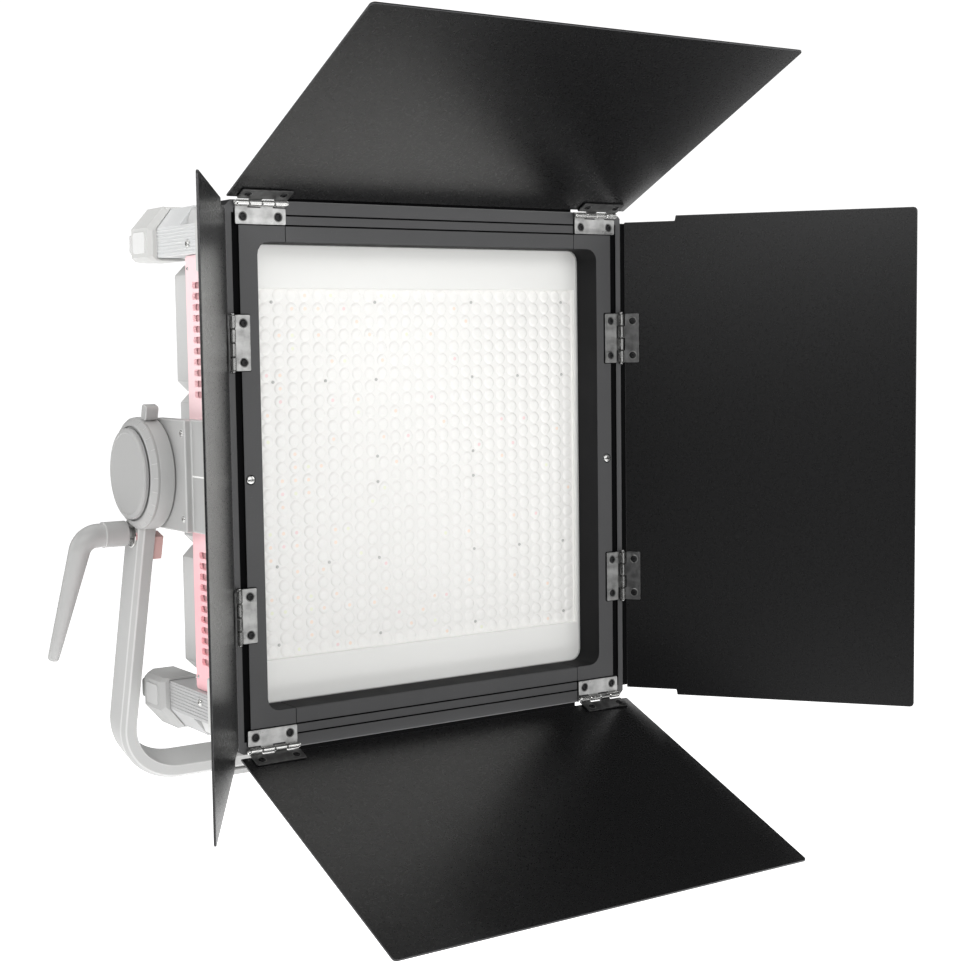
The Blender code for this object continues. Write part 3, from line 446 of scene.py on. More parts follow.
def screw(mesh, axis, centre, seat, radius, out, rise=0.0009, rim=-1):
    """Domed socket screw on the plane at seat; rim is the slot of a raised ring around it."""
    steps = [(0.0, radius), (0.3 * rise, radius), (0.75 * rise, 0.88 * radius), (rise, 0.70 * radius),
             (rise, SOCKET * radius, SOCKET_SIDES), (0.15 * rise, SOCKET * radius * 0.92, SOCKET_SIDES)]
    turned(mesh, axis, centre, [(seat + out * step[0], *step[1:]) for step in steps], 24)
    if rim >= 0:
        ring = [(0.0, 1.30 * radius), (0.10 * rise, 1.24 * radius),
                (0.22 * rise, 1.12 * radius), (0.0, radius)]
        turned(mesh, axis, centre, [(seat + out * w, r) for w, r in ring], 24, rim, closed=True)


# ------------------------------------------------------------------ barn-door frame
SEAL_REACH = 0.0085     # how far the light seal stands out from a stile
SEAL_BACK = 0.0055      # behind the seal, measured from the frame's front
EASED = 0.0006          # room for broken edges when faces are told apart
STILE_SCREW_IN = 0.0148  # outer wall of a stile to its retaining screw
FRAME_LOOKS = [charcoal, jamb_painted_shade, seal_and_shade_black]
STILE_EDGE = head_box("frame_stile_right")[1] - Vector((SEAL_REACH, 0, 0))
STILE_X = STILE_EDGE.x - STILE_SCREW_IN


def frame_slot(centre, normal):
    """Charcoal front and outer walls; black seal and grooves, partly the seal's own black and partly painted
    shade; jambs and inside in painted shade.
    """
    if normal.y < -0.3 and centre.y < EASED:
        return 0
    outer = max(abs(centre.x) - STILE_EDGE.x, abs(centre.z) - STILE_EDGE.z)
    if outer > -EASED and abs(normal.y) < 0.5 and centre.y > 0.006:
        return 0
    return 2 if centre.y < SEAL_BACK else 1


for side in ("left", "right"):
    refined("frame_stile_" + side, FRAME_LOOKS, 0.0006, 3, choose=frame_slot)
for side in ("top", "bottom"):
    refined("frame_rail_" + side, FRAME_LOOKS, 0.0003, 2, choose=frame_slot)

mesh = bmesh.new()
for sign in (-1, 1):
    steps = [(0.0016, 0.0032), (0.0002, 0.0032), (-0.0004, 0.0028), (-0.0008, 0.0018), (-0.0008, 0.0004)]
    turned(mesh, "Y", (sign * STILE_X, 0.0), steps, 32)
piece("stile_screws", mesh, HEAD, [silver_screw], "head")
mesh = bmesh.new()
for sign in (-1, 1):
    box(mesh, (sign * STILE_X - 0.0023, -0.00095, -0.00035), (sign * STILE_X + 0.0023, -0.00078, 0.00035))
piece("stile_screw_slots", mesh, HEAD, [black_screw], "head")


# ------------------------------------------------------------------ leaves and hinges
# Leaf name: its side's angle about the lamp's axis, and its opening from straight ahead.
LEAVES = {"top": (0, 25.5), "right": (90, 38.0), "bottom": (180, 22.0), "left": (-90, 28.9)}
GAP = 0.0003
HAIR = 0.00004          # keeps near-flush faces apart
HINGE_L = 0.0395
HINGE_T = 0.0012
HINGE_PLATE = 0.0147
BARREL_R = 0.0025
KNUCKLES = 4
SCREW_IN = 0.0138       # screw centres either side of a hinge's middle
SCREW_OUT = 0.0094      # hinge axis to the screw centres


def knuckle_spans(first):
    """Start and end of every second knuckle along a hinge."""
    pitch = HINGE_L / KNUCKLES
    for index in range(first, KNUCKLES, 2):
        start = -HINGE_L / 2 + index * pitch
        yield start + GAP / 2, start + pitch - GAP / 2


def hinge_half(side, matrix, direction, body, node):
    """Plate, curled knuckles, pin and two screws; direction -1 is the frame's half."""
    upright = side in ("left", "right")
    # Painted light and shade: each facing of a plate takes its own lighter or darker copy of the nickel.
    plate_look = plate_upright_shade_tone if upright else plate_across_lit_tone
    if direction > 0:
        plate_look = plate_leaf_shade_tone
    half = HINGE_L / 2
    seat = BARREL_R - HINGE_T
    mesh = bmesh.new()
    near = BARREL_R + 2 * GAP
    low, high = sorted((direction * near, direction * HINGE_PLATE))
    prism(mesh, rounded((-half, low), (half, high), 0.0010, 4), "Y", seat, BARREL_R)
    first = 0 if direction < 0 else 1
    for start, end in knuckle_spans(first):
        curl = [(start, direction * 0.0004), (end, direction * 0.0004),
                (end, direction * (near + 0.0004)), (start, direction * (near + 0.0004))]
        prism(mesh, curl, "Y", seat + HAIR, BARREL_R - HAIR)
    piece("hinge_plate_" + node, mesh, matrix, [plate_look], body, (node,), 0.00022, 2)
    mesh = bmesh.new()
    for start, end in knuckle_spans(first):
        ease = 0.0006
        steps = [(start, BARREL_R - ease), (start + ease, BARREL_R),
                 (end - ease, BARREL_R), (end, BARREL_R - ease)]
        turned(mesh, "X", (0.0, 0.0), steps, 28)
    if direction < 0:
        for sign in (-1, 1):
            pin = ((-0.001, 0.0016), (0.0002, 0.0019), (0.0009, 0.0017), (0.0014, 0.0010), (0.0015, 0.0003))
            steps = [(sign * (half + past), radius) for past, radius in pin]
            turned(mesh, "X", (0.0, 0.0), steps, 24)
    # Upright hinges take the darker barrel copy, a painted shade.
    piece("hinge_barrel_" + node, mesh, matrix, [barrel_shade_tone if upright else bright_nickel], body)
    if direction < 0:
        # Black sheet just larger than the frame's plate, under it: a painted shadow that outlines the plate.
        mesh = bmesh.new()
        rim = 0.0006
        outline = rounded((-half - rim, low - rim), (half + rim, high), 0.0012, 4)
        prism(mesh, outline, "Y", BARREL_R + HAIR, BARREL_R + 0.00026)
        piece("hinge_shadow_sheet_" + node, mesh, matrix, [seal_and_shade_black], body)
    mesh = bmesh.new()
    for sign in (-1, 1):
        screw(mesh, "Y", (sign * SCREW_IN, direction * SCREW_OUT), seat, 0.0027, -1, 0.0007, rim=1)
    piece("hinge_screws_" + node, mesh, matrix, [black_screw, screw_rim], body)


for side, (turn, outwards) in LEAVES.items():
    body = "leaf_" + side
    axis_at = Vector(JOINTS[body + "_swing"]["pos_m"])
    root = Matrix.Translation(axis_at) @ Matrix.Rotation(math.radians(turn), 4, "Y")
    swing = Matrix.Rotation(math.radians(90 - outwards), 4, "X")
    # Leaf bevels take the lighter edge coat: wear plus painted highlight.
    refined("leaf_" + side, [leaf_black, leaf_edge_wear_highlight], 0.0004, 2, 1)
    for end in ("_a", "_b"):
        low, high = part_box("hinge_frame_" + side + end)
        offset = (root.inverted() @ (0.5 * (low + high))).x
        fixed = root @ Matrix.Translation((offset, 0, 0))
        hinge_half(side, fixed, -1, "head", "hinge_frame_" + side + end)
        moving = root @ swing @ Matrix.Translation((offset, 0, 0))
        hinge_half(side, moving, 1, body, "hinge_leaf_" + side + end)


# ------------------------------------------------------------------ window and LED lens array
refined("window_frame", [border_white], 0.0004, 2)
repaint("lens_sheet", lens_base)
lens_low, lens_high = head_box("lens_sheet")
COLUMNS = 27
ROWS = 28
PITCH_X = (lens_high.x - lens_low.x) / COLUMNS
PITCH_Z = (lens_high.z - lens_low.z) / ROWS
BEAD_R = 0.0046
BEAD_H = 0.0009
BEAD_SIDES = 14
TINTED_COLUMNS = 14     # chips show less and less over this many columns from the left
# Pins of one quarter of the lens sheet, mirrored into the other three and moved to the bead grid.
PINS = ((0.134, 0.127), (0.046, 0.127), (0.134, 0.068), (0.092, 0.069), (0.048, 0.068), (0.048, 0.010))
GASKET_EDGE = 0.0004


def build_beads():
    """One low dome per LED; a few show a tinted chip behind the middle."""
    chance = random.Random(11)
    mesh = bmesh.new()
    profile = ((0.0, 1.0), (0.42, 0.90), (0.80, 0.62), (0.97, 0.30))
    for row in range(ROWS):
        for column in range(COLUMNS):
            x = lens_low.x + (column + 0.5) * PITCH_X
            z = lens_low.z + (row + 0.5) * PITCH_Z
            tint = 0
            if chance.random() < max(0.07, 0.48 * (1 - column / TINTED_COLUMNS)):
                tint = chance.choice((1, 1, 2, 3))
            rings = []
            for rise, reach in profile:
                outline = circle(x, z, BEAD_R * reach, BEAD_SIDES)
                rings.append([mesh.verts.new((u, lens_low.y - rise * BEAD_H, v)) for u, v in outline])
            for lower, upper in zip(rings, rings[1:]):
                for i in range(BEAD_SIDES):
                    j = (i + 1) % BEAD_SIDES
                    mesh.faces.new((lower[i], lower[j], upper[j], upper[i]))
            crown = mesh.verts.new((x, lens_low.y - BEAD_H, z))
            for i in range(BEAD_SIDES):
                face = mesh.faces.new((rings[-1][i], rings[-1][(i + 1) % BEAD_SIDES], crown))
                face.material_index = tint
            mesh.faces.new(list(reversed(rings[0])))
    piece("led_lenses", mesh, HEAD, [bead_clear, bead_amber, bead_red, bead_lime], "head", angle=60)


build_beads()
mesh = bmesh.new()
face = lens_low.y
for x, z in PINS:
    for sign_x in (-1, 1):
        for sign_z in (-1, 1):
            column = sign_x * round(x / PITCH_X) + 0.5
            row = sign_z * round(z / PITCH_Z)
            steps = [(face + 0.0002, 0.0012), (face - 0.0004, 0.0012), (face - 0.0007, 0.0007)]
            turned(mesh, "Y", (column * PITCH_X, row * PITCH_Z), steps, 14)
piece("lens_pins", mesh, HEAD, [pin_grey], "head")

mesh = bmesh.new()
for sign in (-1, 1):
    xs = sorted((sign * (lens_high.x - GASKET_EDGE), sign * (lens_high.x + GASKET_EDGE + GAP)))
    box(mesh, (xs[0], face + 0.0001, lens_low.z), (xs[1], face + 0.0008, lens_high.z))
    zs = sorted((sign * (lens_high.z - GASKET_EDGE), sign * (lens_high.z + GASKET_EDGE + GAP)))
    reach = lens_high.x + GASKET_EDGE
    box(mesh, (lens_low.x - GASKET_EDGE, face + 0.0001, zs[0]), (reach, face + 0.0008, zs[1]))
piece("lens_gasket", mesh, HEAD, [border_white], "head")

repaint("led_board", board_green)
repaint("heat_sink", alloy)
repaint("driver_board", board_green)


# ------------------------------------------------------------------ lamp body
refined("body_shell", [pale_body, pale_edge], 0.0006, 2, 1)
for side in ("left", "right"):
    refined("side_panel_" + side, [rose], 0.0004, 2)
    refined("pivot_bracket_" + side, [pale_deep, pale_edge], 0.0012, 3, 1)
for level in ("upper", "lower"):
    refined("rear_cover_" + level, [pale_body, pale_edge], 0.0006, 2, 1)
    refined("fan_" + level, [slot_dark], 0.0003, 2)
    refined("guard_" + level, [ribbed if level == "upper" else ribbed_low], 0.0006, 2)
    for side in ("left", "right"):
        refined("corner_cap_" + level + "_" + side, [cushion if level == "upper" else cushion_low], 0.0022, 4)
refined("control_box", [pale_body, pale_edge], 0.0006, 2, 1)

guard_low, guard_high = head_box("guard_upper")
cap_low, cap_high = head_box("corner_cap_upper_right")
panel_high = head_box("side_panel_right")[1]
RIBS = 8
RIB_PITCH = 0.0025
BRACKET_X = 0.1770      # outer face of a pivot bracket's flange
BLOCK_X = 0.1825        # outer face of its pivot block
SCREW_Y = 0.0665        # depth of the screws on the guards and on the pivot blocks
PANEL_SCREW_Y = 0.0770
VENT_LOW = 0.0556       # heights of the plates behind the slots of a side panel
VENT_HIGH = 0.1434
for up, level in ((1, "upper"), (-1, "lower")):
    mesh = bmesh.new()
    for side in (-1, 1):
        for i in range(RIBS):
            z = up * (guard_low.z + 0.0022 + i * RIB_PITCH)
            xs = sorted((side * (guard_high.x - 0.0004), side * (guard_high.x + 0.0005)))
            outline = rounded((xs[0], z - 0.0006), (xs[1], z + 0.0006), 0.0004, 3)
            prism(mesh, outline, "Y", 0.0360, cap_low.y + 0.001)
    piece("guard_ribs_" + level, mesh, HEAD, [ribbed if up > 0 else ribbed_low], "head")
    mesh = bmesh.new()
    for side in (-1, 1):
        seat = side * (guard_high.x + 0.0004)
        screw(mesh, "X", (SCREW_Y, up * 0.1695), seat, 0.0026, side, 0.0011, rim=0)
        seat = side * panel_high.x
        for z in (0.030, 0.152):
            screw(mesh, "X", (PANEL_SCREW_Y, up * z), seat, 0.0014, side, 0.0006)
    piece("side_screws_" + level, mesh, HEAD, [silver_screw], "head")
    mesh = bmesh.new()
    for side in (-1, 1):
        xs = sorted((side * (cap_high.x - 0.0003), side * (cap_high.x + 0.0007)))
        zs = sorted((up * (cap_low.z + 0.006), up * (cap_high.z - 0.019)))
        outline = rounded((cap_low.y + 0.008, zs[0]), (cap_high.y - 0.016, zs[1]), 0.003, 6)
        prism(mesh, outline, "X", xs[0], xs[1])
        middle = side * (cap_high.x - 0.0105)
        outline = rounded((middle - 0.0075, zs[0]), (middle + 0.0055, zs[1]), 0.003, 6)
        prism(mesh, outline, "Y", cap_high.y - 0.0005, cap_high.y + 0.0006)
    piece("cap_pads_" + level, mesh, HEAD, [cushion_pad if up > 0 else pad_low], "head", bevel=0.0003)

# Clips over the side of a guard, stepping in onto the side panel.
mesh = bmesh.new()
for side in (-1, 1):
    for up in (-1, 1):
        outline = [(guard_high.x + 0.0009, 0.1855), (guard_high.x + 0.0002, 0.1855),
                   (guard_high.x + 0.0002, 0.1617), (panel_high.x + 0.0001, 0.1617),
                   (panel_high.x + 0.0001, 0.1500), (panel_high.x + 0.0012, 0.1488),
                   (guard_high.x - 0.0002, 0.1488), (guard_high.x + 0.0009, 0.1500)]
        prism(mesh, [(side * u, up * v) for u, v in outline], "Y", 0.0440, 0.0520)
piece("body_clips", mesh, HEAD, [cushion], "head", bevel=0.0004)

# Plates set just below the shell's outer face, seen through the slots of the side panels.
mesh = bmesh.new()
shell_x = head_box("body_shell")[1].x
for side in (-1, 1):
    xs = sorted((side * (shell_x - 0.0016), side * (shell_x - 0.0004)))
    for up in (-1, 1):
        zs = sorted((up * VENT_LOW, up * VENT_HIGH))
        box(mesh, (xs[0], 0.0361, zs[0]), (xs[1], 0.0719, zs[1]))
piece("vent_baffles", mesh, HEAD, [baffle_rose], "head")

mesh = bmesh.new()
for side in (-1, 1):
    xs = sorted((side * (BRACKET_X - 0.0002), side * (BRACKET_X + 0.00025)))
    box(mesh, (xs[0], 0.0362, -0.0006), (xs[1], 0.0608, 0.0006))
piece("tilt_index_lines", mesh, HEAD, [index_white], "head")
mesh = bmesh.new()
for side in (-1, 1):
    for z in (-0.0315, 0.0315):
        screw(mesh, "X", (SCREW_Y, z), side * BLOCK_X, 0.0024, side, rim=1)
piece("flange_screws", mesh, HEAD, [silver_screw, pale_edge], "head")


# ------------------------------------------------------------------ rear controls
refined("display", [display_glass], 0.0004, 2)
shown_low, shown_high = head_box("display")
mesh = bmesh.new()
face = shown_high.y
left = shown_low.x + 0.006
for row, width in enumerate((0.020, 0.034, 0.014)):
    z = shown_high.z - 0.010 - row * 0.011
    outline = rounded((left, z - 0.0018), (left + width, z + 0.0018), 0.0009, 4)
    prism(mesh, outline, "Y", face - 0.0002, face + 0.00015)
outline = rounded((shown_high.x - 0.018, shown_low.z + 0.008),
                  (shown_high.x - 0.006, shown_high.z - 0.008), 0.002, 4)
prism(mesh, outline, "Y", face - 0.0002, face + 0.00015)
piece("display_marks", mesh, HEAD, [screen_lit], "head")

TEETH = 36
# Knob from the panel outwards: height, radius, and depth of the grip's grooves.
KNOB = ((0.0006, 0.0113, 0.0), (0.0014, 0.0115, 0.0004), (0.0108, 0.0107, 0.0004), (0.0122, 0.0101, 0.0),
        (0.0131, 0.0092, 0.0), (0.0127, 0.0078, 0.0), (0.0127, 0.0005, 0.0))
SCALE_R = 0.0145
SCALE_DOTS = 11
for node in ("knob_a", "knob_b"):
    at = Vector(JOINTS[node + "_turn"]["pos_m"])
    mesh = bmesh.new()
    rings = []
    for y, radius, ridge in KNOB:
        ring = []
        for i in range(TEETH * 4):
            angle = 2 * math.pi * i / (TEETH * 4)
            reach = radius - ridge * (1 if i % 4 in (0, 1) else 0)
            ring.append((reach * math.cos(angle), y, reach * math.sin(angle)))
        rings.append(ring)
    loft(mesh, rings)
    piece(node + "_grip", mesh, Matrix.Translation(at), [control_dark], node, (node,))
    mesh = bmesh.new()
    prism(mesh, rounded((-0.0004, 0.0035), (0.0004, 0.0072), 0.0003, 3), "Y", 0.0125, 0.0130)
    piece(node + "_mark", mesh, Matrix.Translation(at), [index_white], node)
    mesh = bmesh.new()
    local = TO_HEAD @ at
    for i in range(SCALE_DOTS):
        angle = math.radians(-135 + 270 * i / (SCALE_DOTS - 1))
        u = local.x + SCALE_R * math.sin(angle)
        v = local.z + SCALE_R * math.cos(angle)
        turned(mesh, "Y", (u, v), [(local.y - 0.0002, 0.0005), (local.y + 0.0002, 0.0005)], 12)
    piece(node + "_scale", mesh, HEAD, [control_dark], "head")

refined("menu_button", [control_dark], 0.0003, 2)
refined("power_switch", [control_dark], 0.0004, 2)
refined("power_inlet", [control_dark], 0.0004, 2)
switch_low, switch_high = head_box("power_switch")
inlet_low, inlet_high = head_box("power_inlet")
mesh = bmesh.new()
BEZEL_OUT = 0.0026      # control to a bezel's outer edge
BEZEL_IN = 0.0009       # and to its inner edge
for low, high, radius in ((switch_low, switch_high, 0.0015), (inlet_low, inlet_high, 0.003)):
    back = inlet_high.y - 0.0008
    outer, inner = [rounded((low.x - gap, low.z - gap), (high.x + gap, high.z + gap), corner, 5)
                    for gap, corner in ((BEZEL_OUT, radius), (BEZEL_IN, radius * 0.8))]
    rings = [[place(u, v, y, "Y") for u, v in outline]
             for outline, y in ((outer, back), (outer, back + 0.0007), (inner, back + 0.0011), (inner, back))]
    loft(mesh, rings, closed=True)
piece("control_bezels", mesh, HEAD, [control_dark], "head")

mesh = bmesh.new()
box_low, box_high = head_box("control_box")
cover_low, cover_high = head_box("rear_cover_upper")
for side in (-1, 1):
    for z in (box_low.z + 0.012, box_high.z - 0.012):
        screw(mesh, "Y", (side * (box_high.x - 0.014), z), box_high.y, 0.0026, 1, 0.0010, rim=1)
    for up in (-1, 1):
        for z in (cover_low.z + 0.020, cover_high.z - 0.020):
            screw(mesh, "Y", (side * (cover_high.x - 0.020), up * z), cover_high.y, 0.0026, 1, 0.0010, rim=1)
piece("rear_screws", mesh, HEAD, [silver_screw, pale_edge], "head")


# ------------------------------------------------------------------ yoke
YOKE_OUT = 0.1960       # outer face of the arms
YOKE_T = 0.0128
YOKE_LEN = 0.2636       # tilt axis to the underside of the bar
YOKE_R = 0.0560         # outside of the bent corners
YOKE_HALF_BAR = 0.0150
CHAMFER = 0.0036
EYE_R = 0.0425
EYE_OUT = 0.2007
AXLE_R = 0.0160
CAP_R = 0.0344
FOOT_T = 0.0050
TICKS = 24
TICK_HALF = 0.00022     # half width of a tick
TICK_LIFT = 0.00012
LEVER_Z = -0.0485


def yoke_path(half, radius, bottom, steps=20):
    """Down one arm, round both bent corners and up the other arm."""
    path = [(half, -AXLE_R - 0.006)]
    for i in range(steps + 1):
        angle = math.radians(-90 * i / steps)
        path.append((half - radius + radius * math.cos(angle), bottom + radius + radius * math.sin(angle)))
    return path + [(-u, v) for u, v in reversed(path)]


mesh = bmesh.new()
outer = yoke_path(YOKE_OUT, YOKE_R, -YOKE_LEN)
inner = yoke_path(YOKE_OUT - YOKE_T, YOKE_R - YOKE_T, -YOKE_LEN + YOKE_T)
eased = yoke_path(YOKE_OUT - CHAMFER, YOKE_R - CHAMFER, -YOKE_LEN + CHAMFER)
rings = []
for far, mid, near in zip(outer, eased, inner):
    section = [(far, -YOKE_HALF_BAR + CHAMFER), (far, YOKE_HALF_BAR - CHAMFER), (mid, YOKE_HALF_BAR),
               (near, YOKE_HALF_BAR), (near, -YOKE_HALF_BAR), (mid, -YOKE_HALF_BAR)]
    rings.append([(point[0], y, point[1]) for point, y in section])
loft(mesh, rings)
piece("yoke_bar", mesh, YOKE, [pale_deep, pale_edge], "yoke", ("yoke",), 0.0008, 3, 1)
mesh = bmesh.new()
inside = YOKE_OUT - YOKE_T - 0.0001
for side in (-1, 1):
    steps = [(inside, AXLE_R), (inside, EYE_R - 0.0012), (inside + 0.0012, EYE_R),
             (EYE_OUT - 0.0062, EYE_R), (EYE_OUT - 0.0056, EYE_R - 0.0005),
             (EYE_OUT - 0.0050, EYE_R - 0.0002), (EYE_OUT - 0.0036, EYE_R - 0.0004),
             (EYE_OUT - 0.0004, EYE_R - 0.0040), (EYE_OUT, EYE_R - 0.0046), (EYE_OUT, CAP_R + 0.0016),
             (EYE_OUT - 0.0014, CAP_R + 0.0012), (EYE_OUT - 0.0014, AXLE_R)]
    turned(mesh, "X", (0.0, 0.0), [(side * w, r) for w, r in steps], 96, closed=True)
piece("yoke_eyes", mesh, YOKE, [pale_deep], "yoke", angle=40)

mesh = bmesh.new()
for side in (-1, 1):
    for i in range(TICKS):
        spin = Matrix.Rotation(2 * math.pi * i / TICKS, 3, "X")
        length = 0.0022 if i % 2 else 0.0030    # measured along the tilt axis
        start = side * (EYE_OUT - 0.0036)
        start_r = EYE_R - 0.0003
        end = start + side * length
        end_r = start_r - 1.12 * length
        foot = [(start, -TICK_HALF, start_r), (start, TICK_HALF, start_r),
                (end, TICK_HALF, end_r), (end, -TICK_HALF, end_r)]
        top = [(x + side * TICK_LIFT, y, z + TICK_LIFT) for x, y, z in foot]
        loft(mesh, [[spin @ Vector(point) for point in ring] for ring in (foot, top)])
piece("yoke_tilt_scale", mesh, YOKE, [pale_edge], "yoke")

tilt_y = (TO_HEAD @ PIVOT).y
for side, sign in (("left", -1), ("right", 1)):
    mesh = bmesh.new()
    inner_x = EYE_OUT + 0.0005
    steps = [(inner_x, CAP_R), (inner_x + 0.0021, CAP_R), (inner_x + 0.0030, CAP_R - 0.0006),
             (inner_x + 0.0037, CAP_R - 0.0022), (inner_x + 0.0038, CAP_R - 0.0034),
             (inner_x + 0.0034, CAP_R - 0.0040), (inner_x + 0.0034, 0.004)]
    turned(mesh, "X", (tilt_y, 0.0), [(sign * w, r) for w, r in steps], 96)
    piece("pivot_disc_" + side, mesh, HEAD, [disc_grey], "head", ("pivot_cap_" + side,), angle=25)

refined("yoke_foot", [pale_deep, pale_edge], 0.0008, 3, 1)
STUD_R = 0.0081         # bore for a 16 mm stand stud
receiver_low = -PIVOT.length
mesh = bmesh.new()
top = -YOKE_LEN - GAP - FOOT_T - GAP
steps = [(receiver_low, STUD_R), (receiver_low, 0.0143), (receiver_low + 0.0008, 0.0150),
         (top - 0.0066, 0.0150), (top - 0.0050, 0.0166), (top - 0.0050, 0.0232),
         (top - 0.0042, 0.0240), (top - 0.0006, 0.0240), (top, 0.0234), (top, STUD_R)]
turned(mesh, "Z", (0.0, 0.0), steps, 64, closed=True)
lift = receiver_low + 0.022
steps = [(0.0125, 0.0038), (0.0125, 0.0070), (0.0202, 0.0070), (0.0210, 0.0063), (0.0210, 0.0038)]
turned(mesh, "Y", (0.0, lift), steps, 40, closed=True)
for ring in (0.006, 0.012):
    start = receiver_low + ring
    steps = [(start, 0.0149), (start + 0.0004, 0.01535), (start + 0.0008, 0.0149)]
    turned(mesh, "Z", (0.0, 0.0), steps, 64)
piece("receiver_tube", mesh, YOKE, [bright_nickel], "yoke", ("stand_receiver",))
mesh = bmesh.new()
steps = [(0.0090, 0.0030), (0.0295, 0.0030), (0.0300, 0.0066), (0.0310, 0.0075),
         (0.0352, 0.0075), (0.0362, 0.0068), (0.0394, 0.0062), (0.0400, 0.0052)]
turned(mesh, "Y", (0.0, lift), steps, 40)
steps = [(-0.0262, 0.0022), (-0.0258, 0.0030), (-0.0245, 0.0034),
         (0.0245, 0.0034), (0.0258, 0.0030), (0.0262, 0.0022)]
turned(mesh, "X", (0.0345, lift), steps, 28)
piece("receiver_clamp", mesh, YOKE, [control_dark], "receiver_screw", ("receiver_screw",))


def lever_ring(x, z, radius, lean):
    """Ring around the lever's centre line, which leans down by this angle."""
    return [(x - v * math.sin(lean), u, z + v * math.cos(lean)) for u, v in circle(0.0, 0.0, radius, 40)]


def build_lever():
    """Hub, collar line, smooth bend and a tapering round handle, with the washer behind it."""
    matrix = YOKE @ Matrix.Translation((0, 0, LEVER_Z))
    mesh = bmesh.new()
    steps = [(-0.1885, 0.0038), (-0.2010, 0.0038), (-0.2012, 0.0092), (-0.2019, 0.0098), (-0.2184, 0.0098),
             (-0.2191, 0.0092), (-0.2195, 0.0090)]
    rings = [lever_ring(x, 0.0, radius, 0.0) for x, radius in steps]
    bend = 0.013
    sweep = math.radians(81)
    bend_steps = 14
    for i in range(bend_steps + 1):
        angle = sweep * i / bend_steps
        x = -0.2240 - bend * math.sin(angle)
        z = -0.0003 - bend * (1 - math.cos(angle))
        rings.append(lever_ring(x, z, 0.0092 - 0.0010 * i / bend_steps, angle))
    length = 0.0905
    tail_steps = 12
    tail = [(length * i / tail_steps, 0.0082 - 0.0038 * i / tail_steps) for i in range(1, tail_steps - 1)]
    for reach, radius in (*tail, (length - 0.0012, 0.0044), (length, 0.0038)):
        rings.append(lever_ring(x - reach * math.cos(sweep), z - reach * math.sin(sweep), radius, sweep))
    loft(mesh, rings)
    piece("lever_handle", mesh, matrix, [pale_deep], "tilt_lever", ("tilt_lever",), angle=35)
    mesh = bmesh.new()
    steps = [(-0.2186, 0.0096), (-0.2189, 0.01005), (-0.2195, 0.01005), (-0.2198, 0.0090)]
    turned(mesh, "X", (0.0, 0.0), steps, 40)
    piece("lever_collar", mesh, matrix, [pale_edge], "tilt_lever")
    mesh = bmesh.new()
    steps = [(-0.1961, 0.0045), (-0.1961, 0.0112), (-0.1974, 0.0112), (-0.1978, 0.0106), (-0.1978, 0.0045)]
    turned(mesh, "X", (0.0, 0.0), steps, 40, closed=True)
    piece("lever_washer", mesh, matrix, [bright_nickel], "yoke")


build_lever()
refined("lock_tab", [pale_deep, pale_edge], 0.0006, 3, 1)
refined("release_latch", [rose_deep], 0.0008, 3)


# ------------------------------------------------------------------ floor, light and camera
AMBIENT = 0.14          # background strength that falls on the object
BACKDROP = 1.1          # and that the camera sees
AIM = (0.0, -0.2, 0.3)  # where most lights point


def stage():
    """Pale floor, and a background that is white to the camera and dim to the object."""
    made = Look("floor_pale", (0.86, 0.86, 0.86), 0.85)
    made.paint(0.02, 1.5).finish_rough(0.05, 4.0)
    made.set(Emission_Color=(1.0, 1.0, 1.0, 1.0), Emission_Strength=1.15)
    bpy.ops.mesh.primitive_circle_add(vertices=96, radius=7.5, fill_type="NGON", location=(2.2, 3.2, -0.95))
    floor = bpy.context.object
    floor.name = "floor"
    floor.data.materials.append(made.material)
    world = bpy.data.worlds.new("studio")
    bpy.context.scene.world = world
    world.use_nodes = True
    nodes = world.node_tree.nodes
    links = world.node_tree.links
    back = nodes["Background"]
    back.inputs["Color"].default_value = (1.0, 1.0, 1.0, 1.0)
    back.inputs["Strength"].default_value = AMBIENT
    seen = nodes.new("ShaderNodeBackground")
    seen.inputs["Color"].default_value = (1.0, 1.0, 1.0, 1.0)
    seen.inputs["Strength"].default_value = BACKDROP
    path = nodes.new("ShaderNodeLightPath")
    blend = nodes.new("ShaderNodeMixShader")
    links.new(path.outputs["Is Camera Ray"], blend.inputs["Fac"])
    links.new(back.outputs["Background"], blend.inputs[1])
    links.new(seen.outputs["Background"], blend.inputs[2])
    links.new(blend.outputs["Shader"], nodes["World Output"].inputs["Surface"])


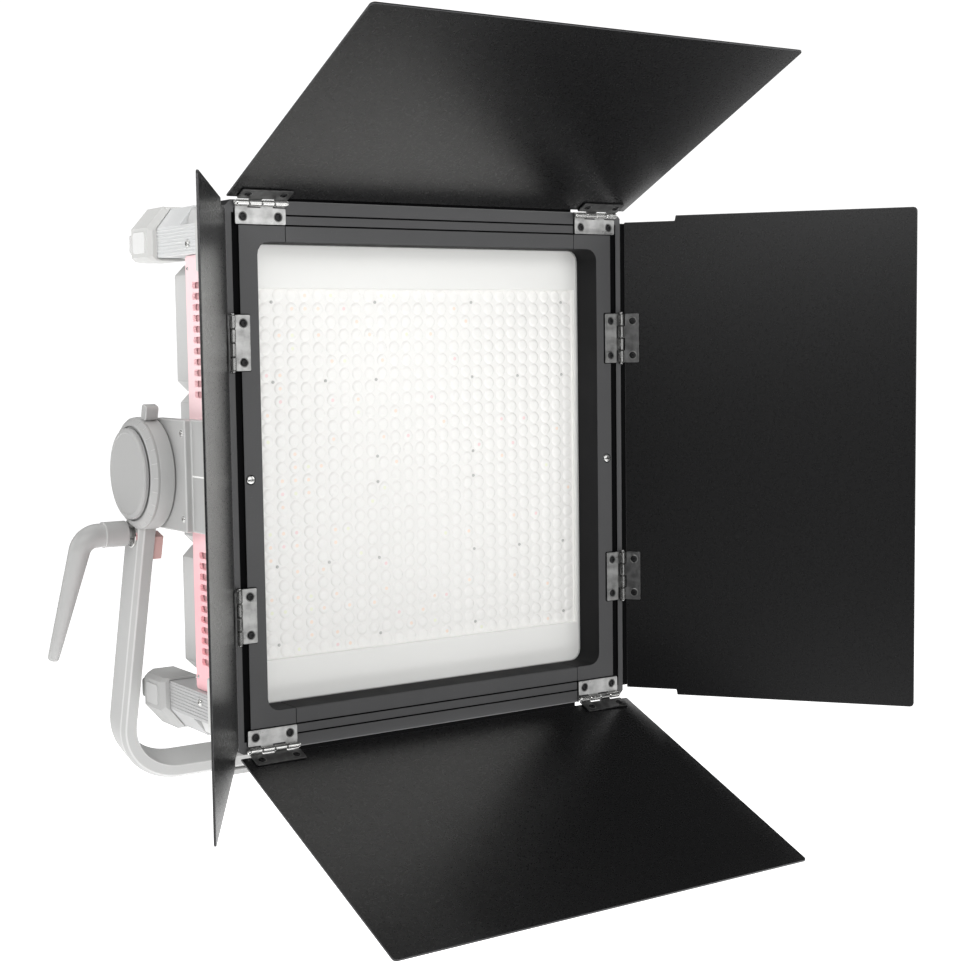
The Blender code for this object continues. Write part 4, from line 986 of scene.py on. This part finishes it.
def softbox(name, at, target, size, energy):
    """Rectangular area light aimed at the target."""
    data = bpy.data.lights.new(name, "AREA")
    data.shape = "RECTANGLE"
    data.size, data.size_y = size
    data.energy = energy
    lamp = bpy.data.objects.new(name, data)
    bpy.context.scene.collection.objects.link(lamp)
    lamp.location = at
    aim = Vector(target) - Vector(at)
    lamp.rotation_euler = aim.to_track_quat("-Z", "Y").to_euler()


stage()
softbox("key_front_left", (-1.9, -2.6, 1.9), AIM, (1.8, 1.8), 42.0)
softbox("front_soft", (0.5, -3.5, 0.8), AIM, (2.6, 2.2), 32.0)
softbox("left_high", (-2.5, -1.35, 1.45), AIM, (1.6, 1.2), 20.0)
softbox("fill_right", (2.6, -1.6, 1.2), AIM, (1.6, 2.0), 30.0)
softbox("top_soft", (0.0, 0.2, 2.6), AIM, (2.6, 2.6), 34.0)
softbox("back_left", (-2.4, 1.8, 1.3), (0.0, 0.0, 0.3), (1.6, 1.8), 19.0)
softbox("back_right_high", (2.6, 0.85, 2.7), (0.0, -0.4, 0.1), (2.2, 1.8), 24.0)

# Camera recovered from the frame's corners and hinge screws; its place is in the head frame.
camera_data = bpy.data.cameras.new("camera")
camera_data.sensor_width = 36.0
camera_data.lens = 63.76
camera_data.clip_end = 60.0
camera = bpy.data.objects.new("camera", camera_data)
bpy.context.scene.collection.objects.link(camera)
yaw = math.radians(33.775)
pitch = math.radians(-4.785)
roll = math.radians(-0.760)
forward = Vector((math.sin(yaw) * math.cos(pitch), math.cos(yaw) * math.cos(pitch), math.sin(pitch)))
level = Vector((math.cos(yaw), -math.sin(yaw), 0.0))
rise = level.cross(forward)
right = math.cos(roll) * level + math.sin(roll) * rise
up = -math.sin(roll) * level + math.cos(roll) * rise
spot = HEAD @ Vector((-0.6973, -1.1026, 0.0960))
camera.matrix_world = Matrix(((right.x, up.x, -forward.x, spot.x), (right.y, up.y, -forward.y, spot.y),
                              (right.z, up.z, -forward.z, spot.z), (0, 0, 0, 1)))
bpy.context.scene.camera = camera
bpy.context.scene.view_settings.view_transform = "Standard"
bpy.context.scene.view_settings.look = "None"
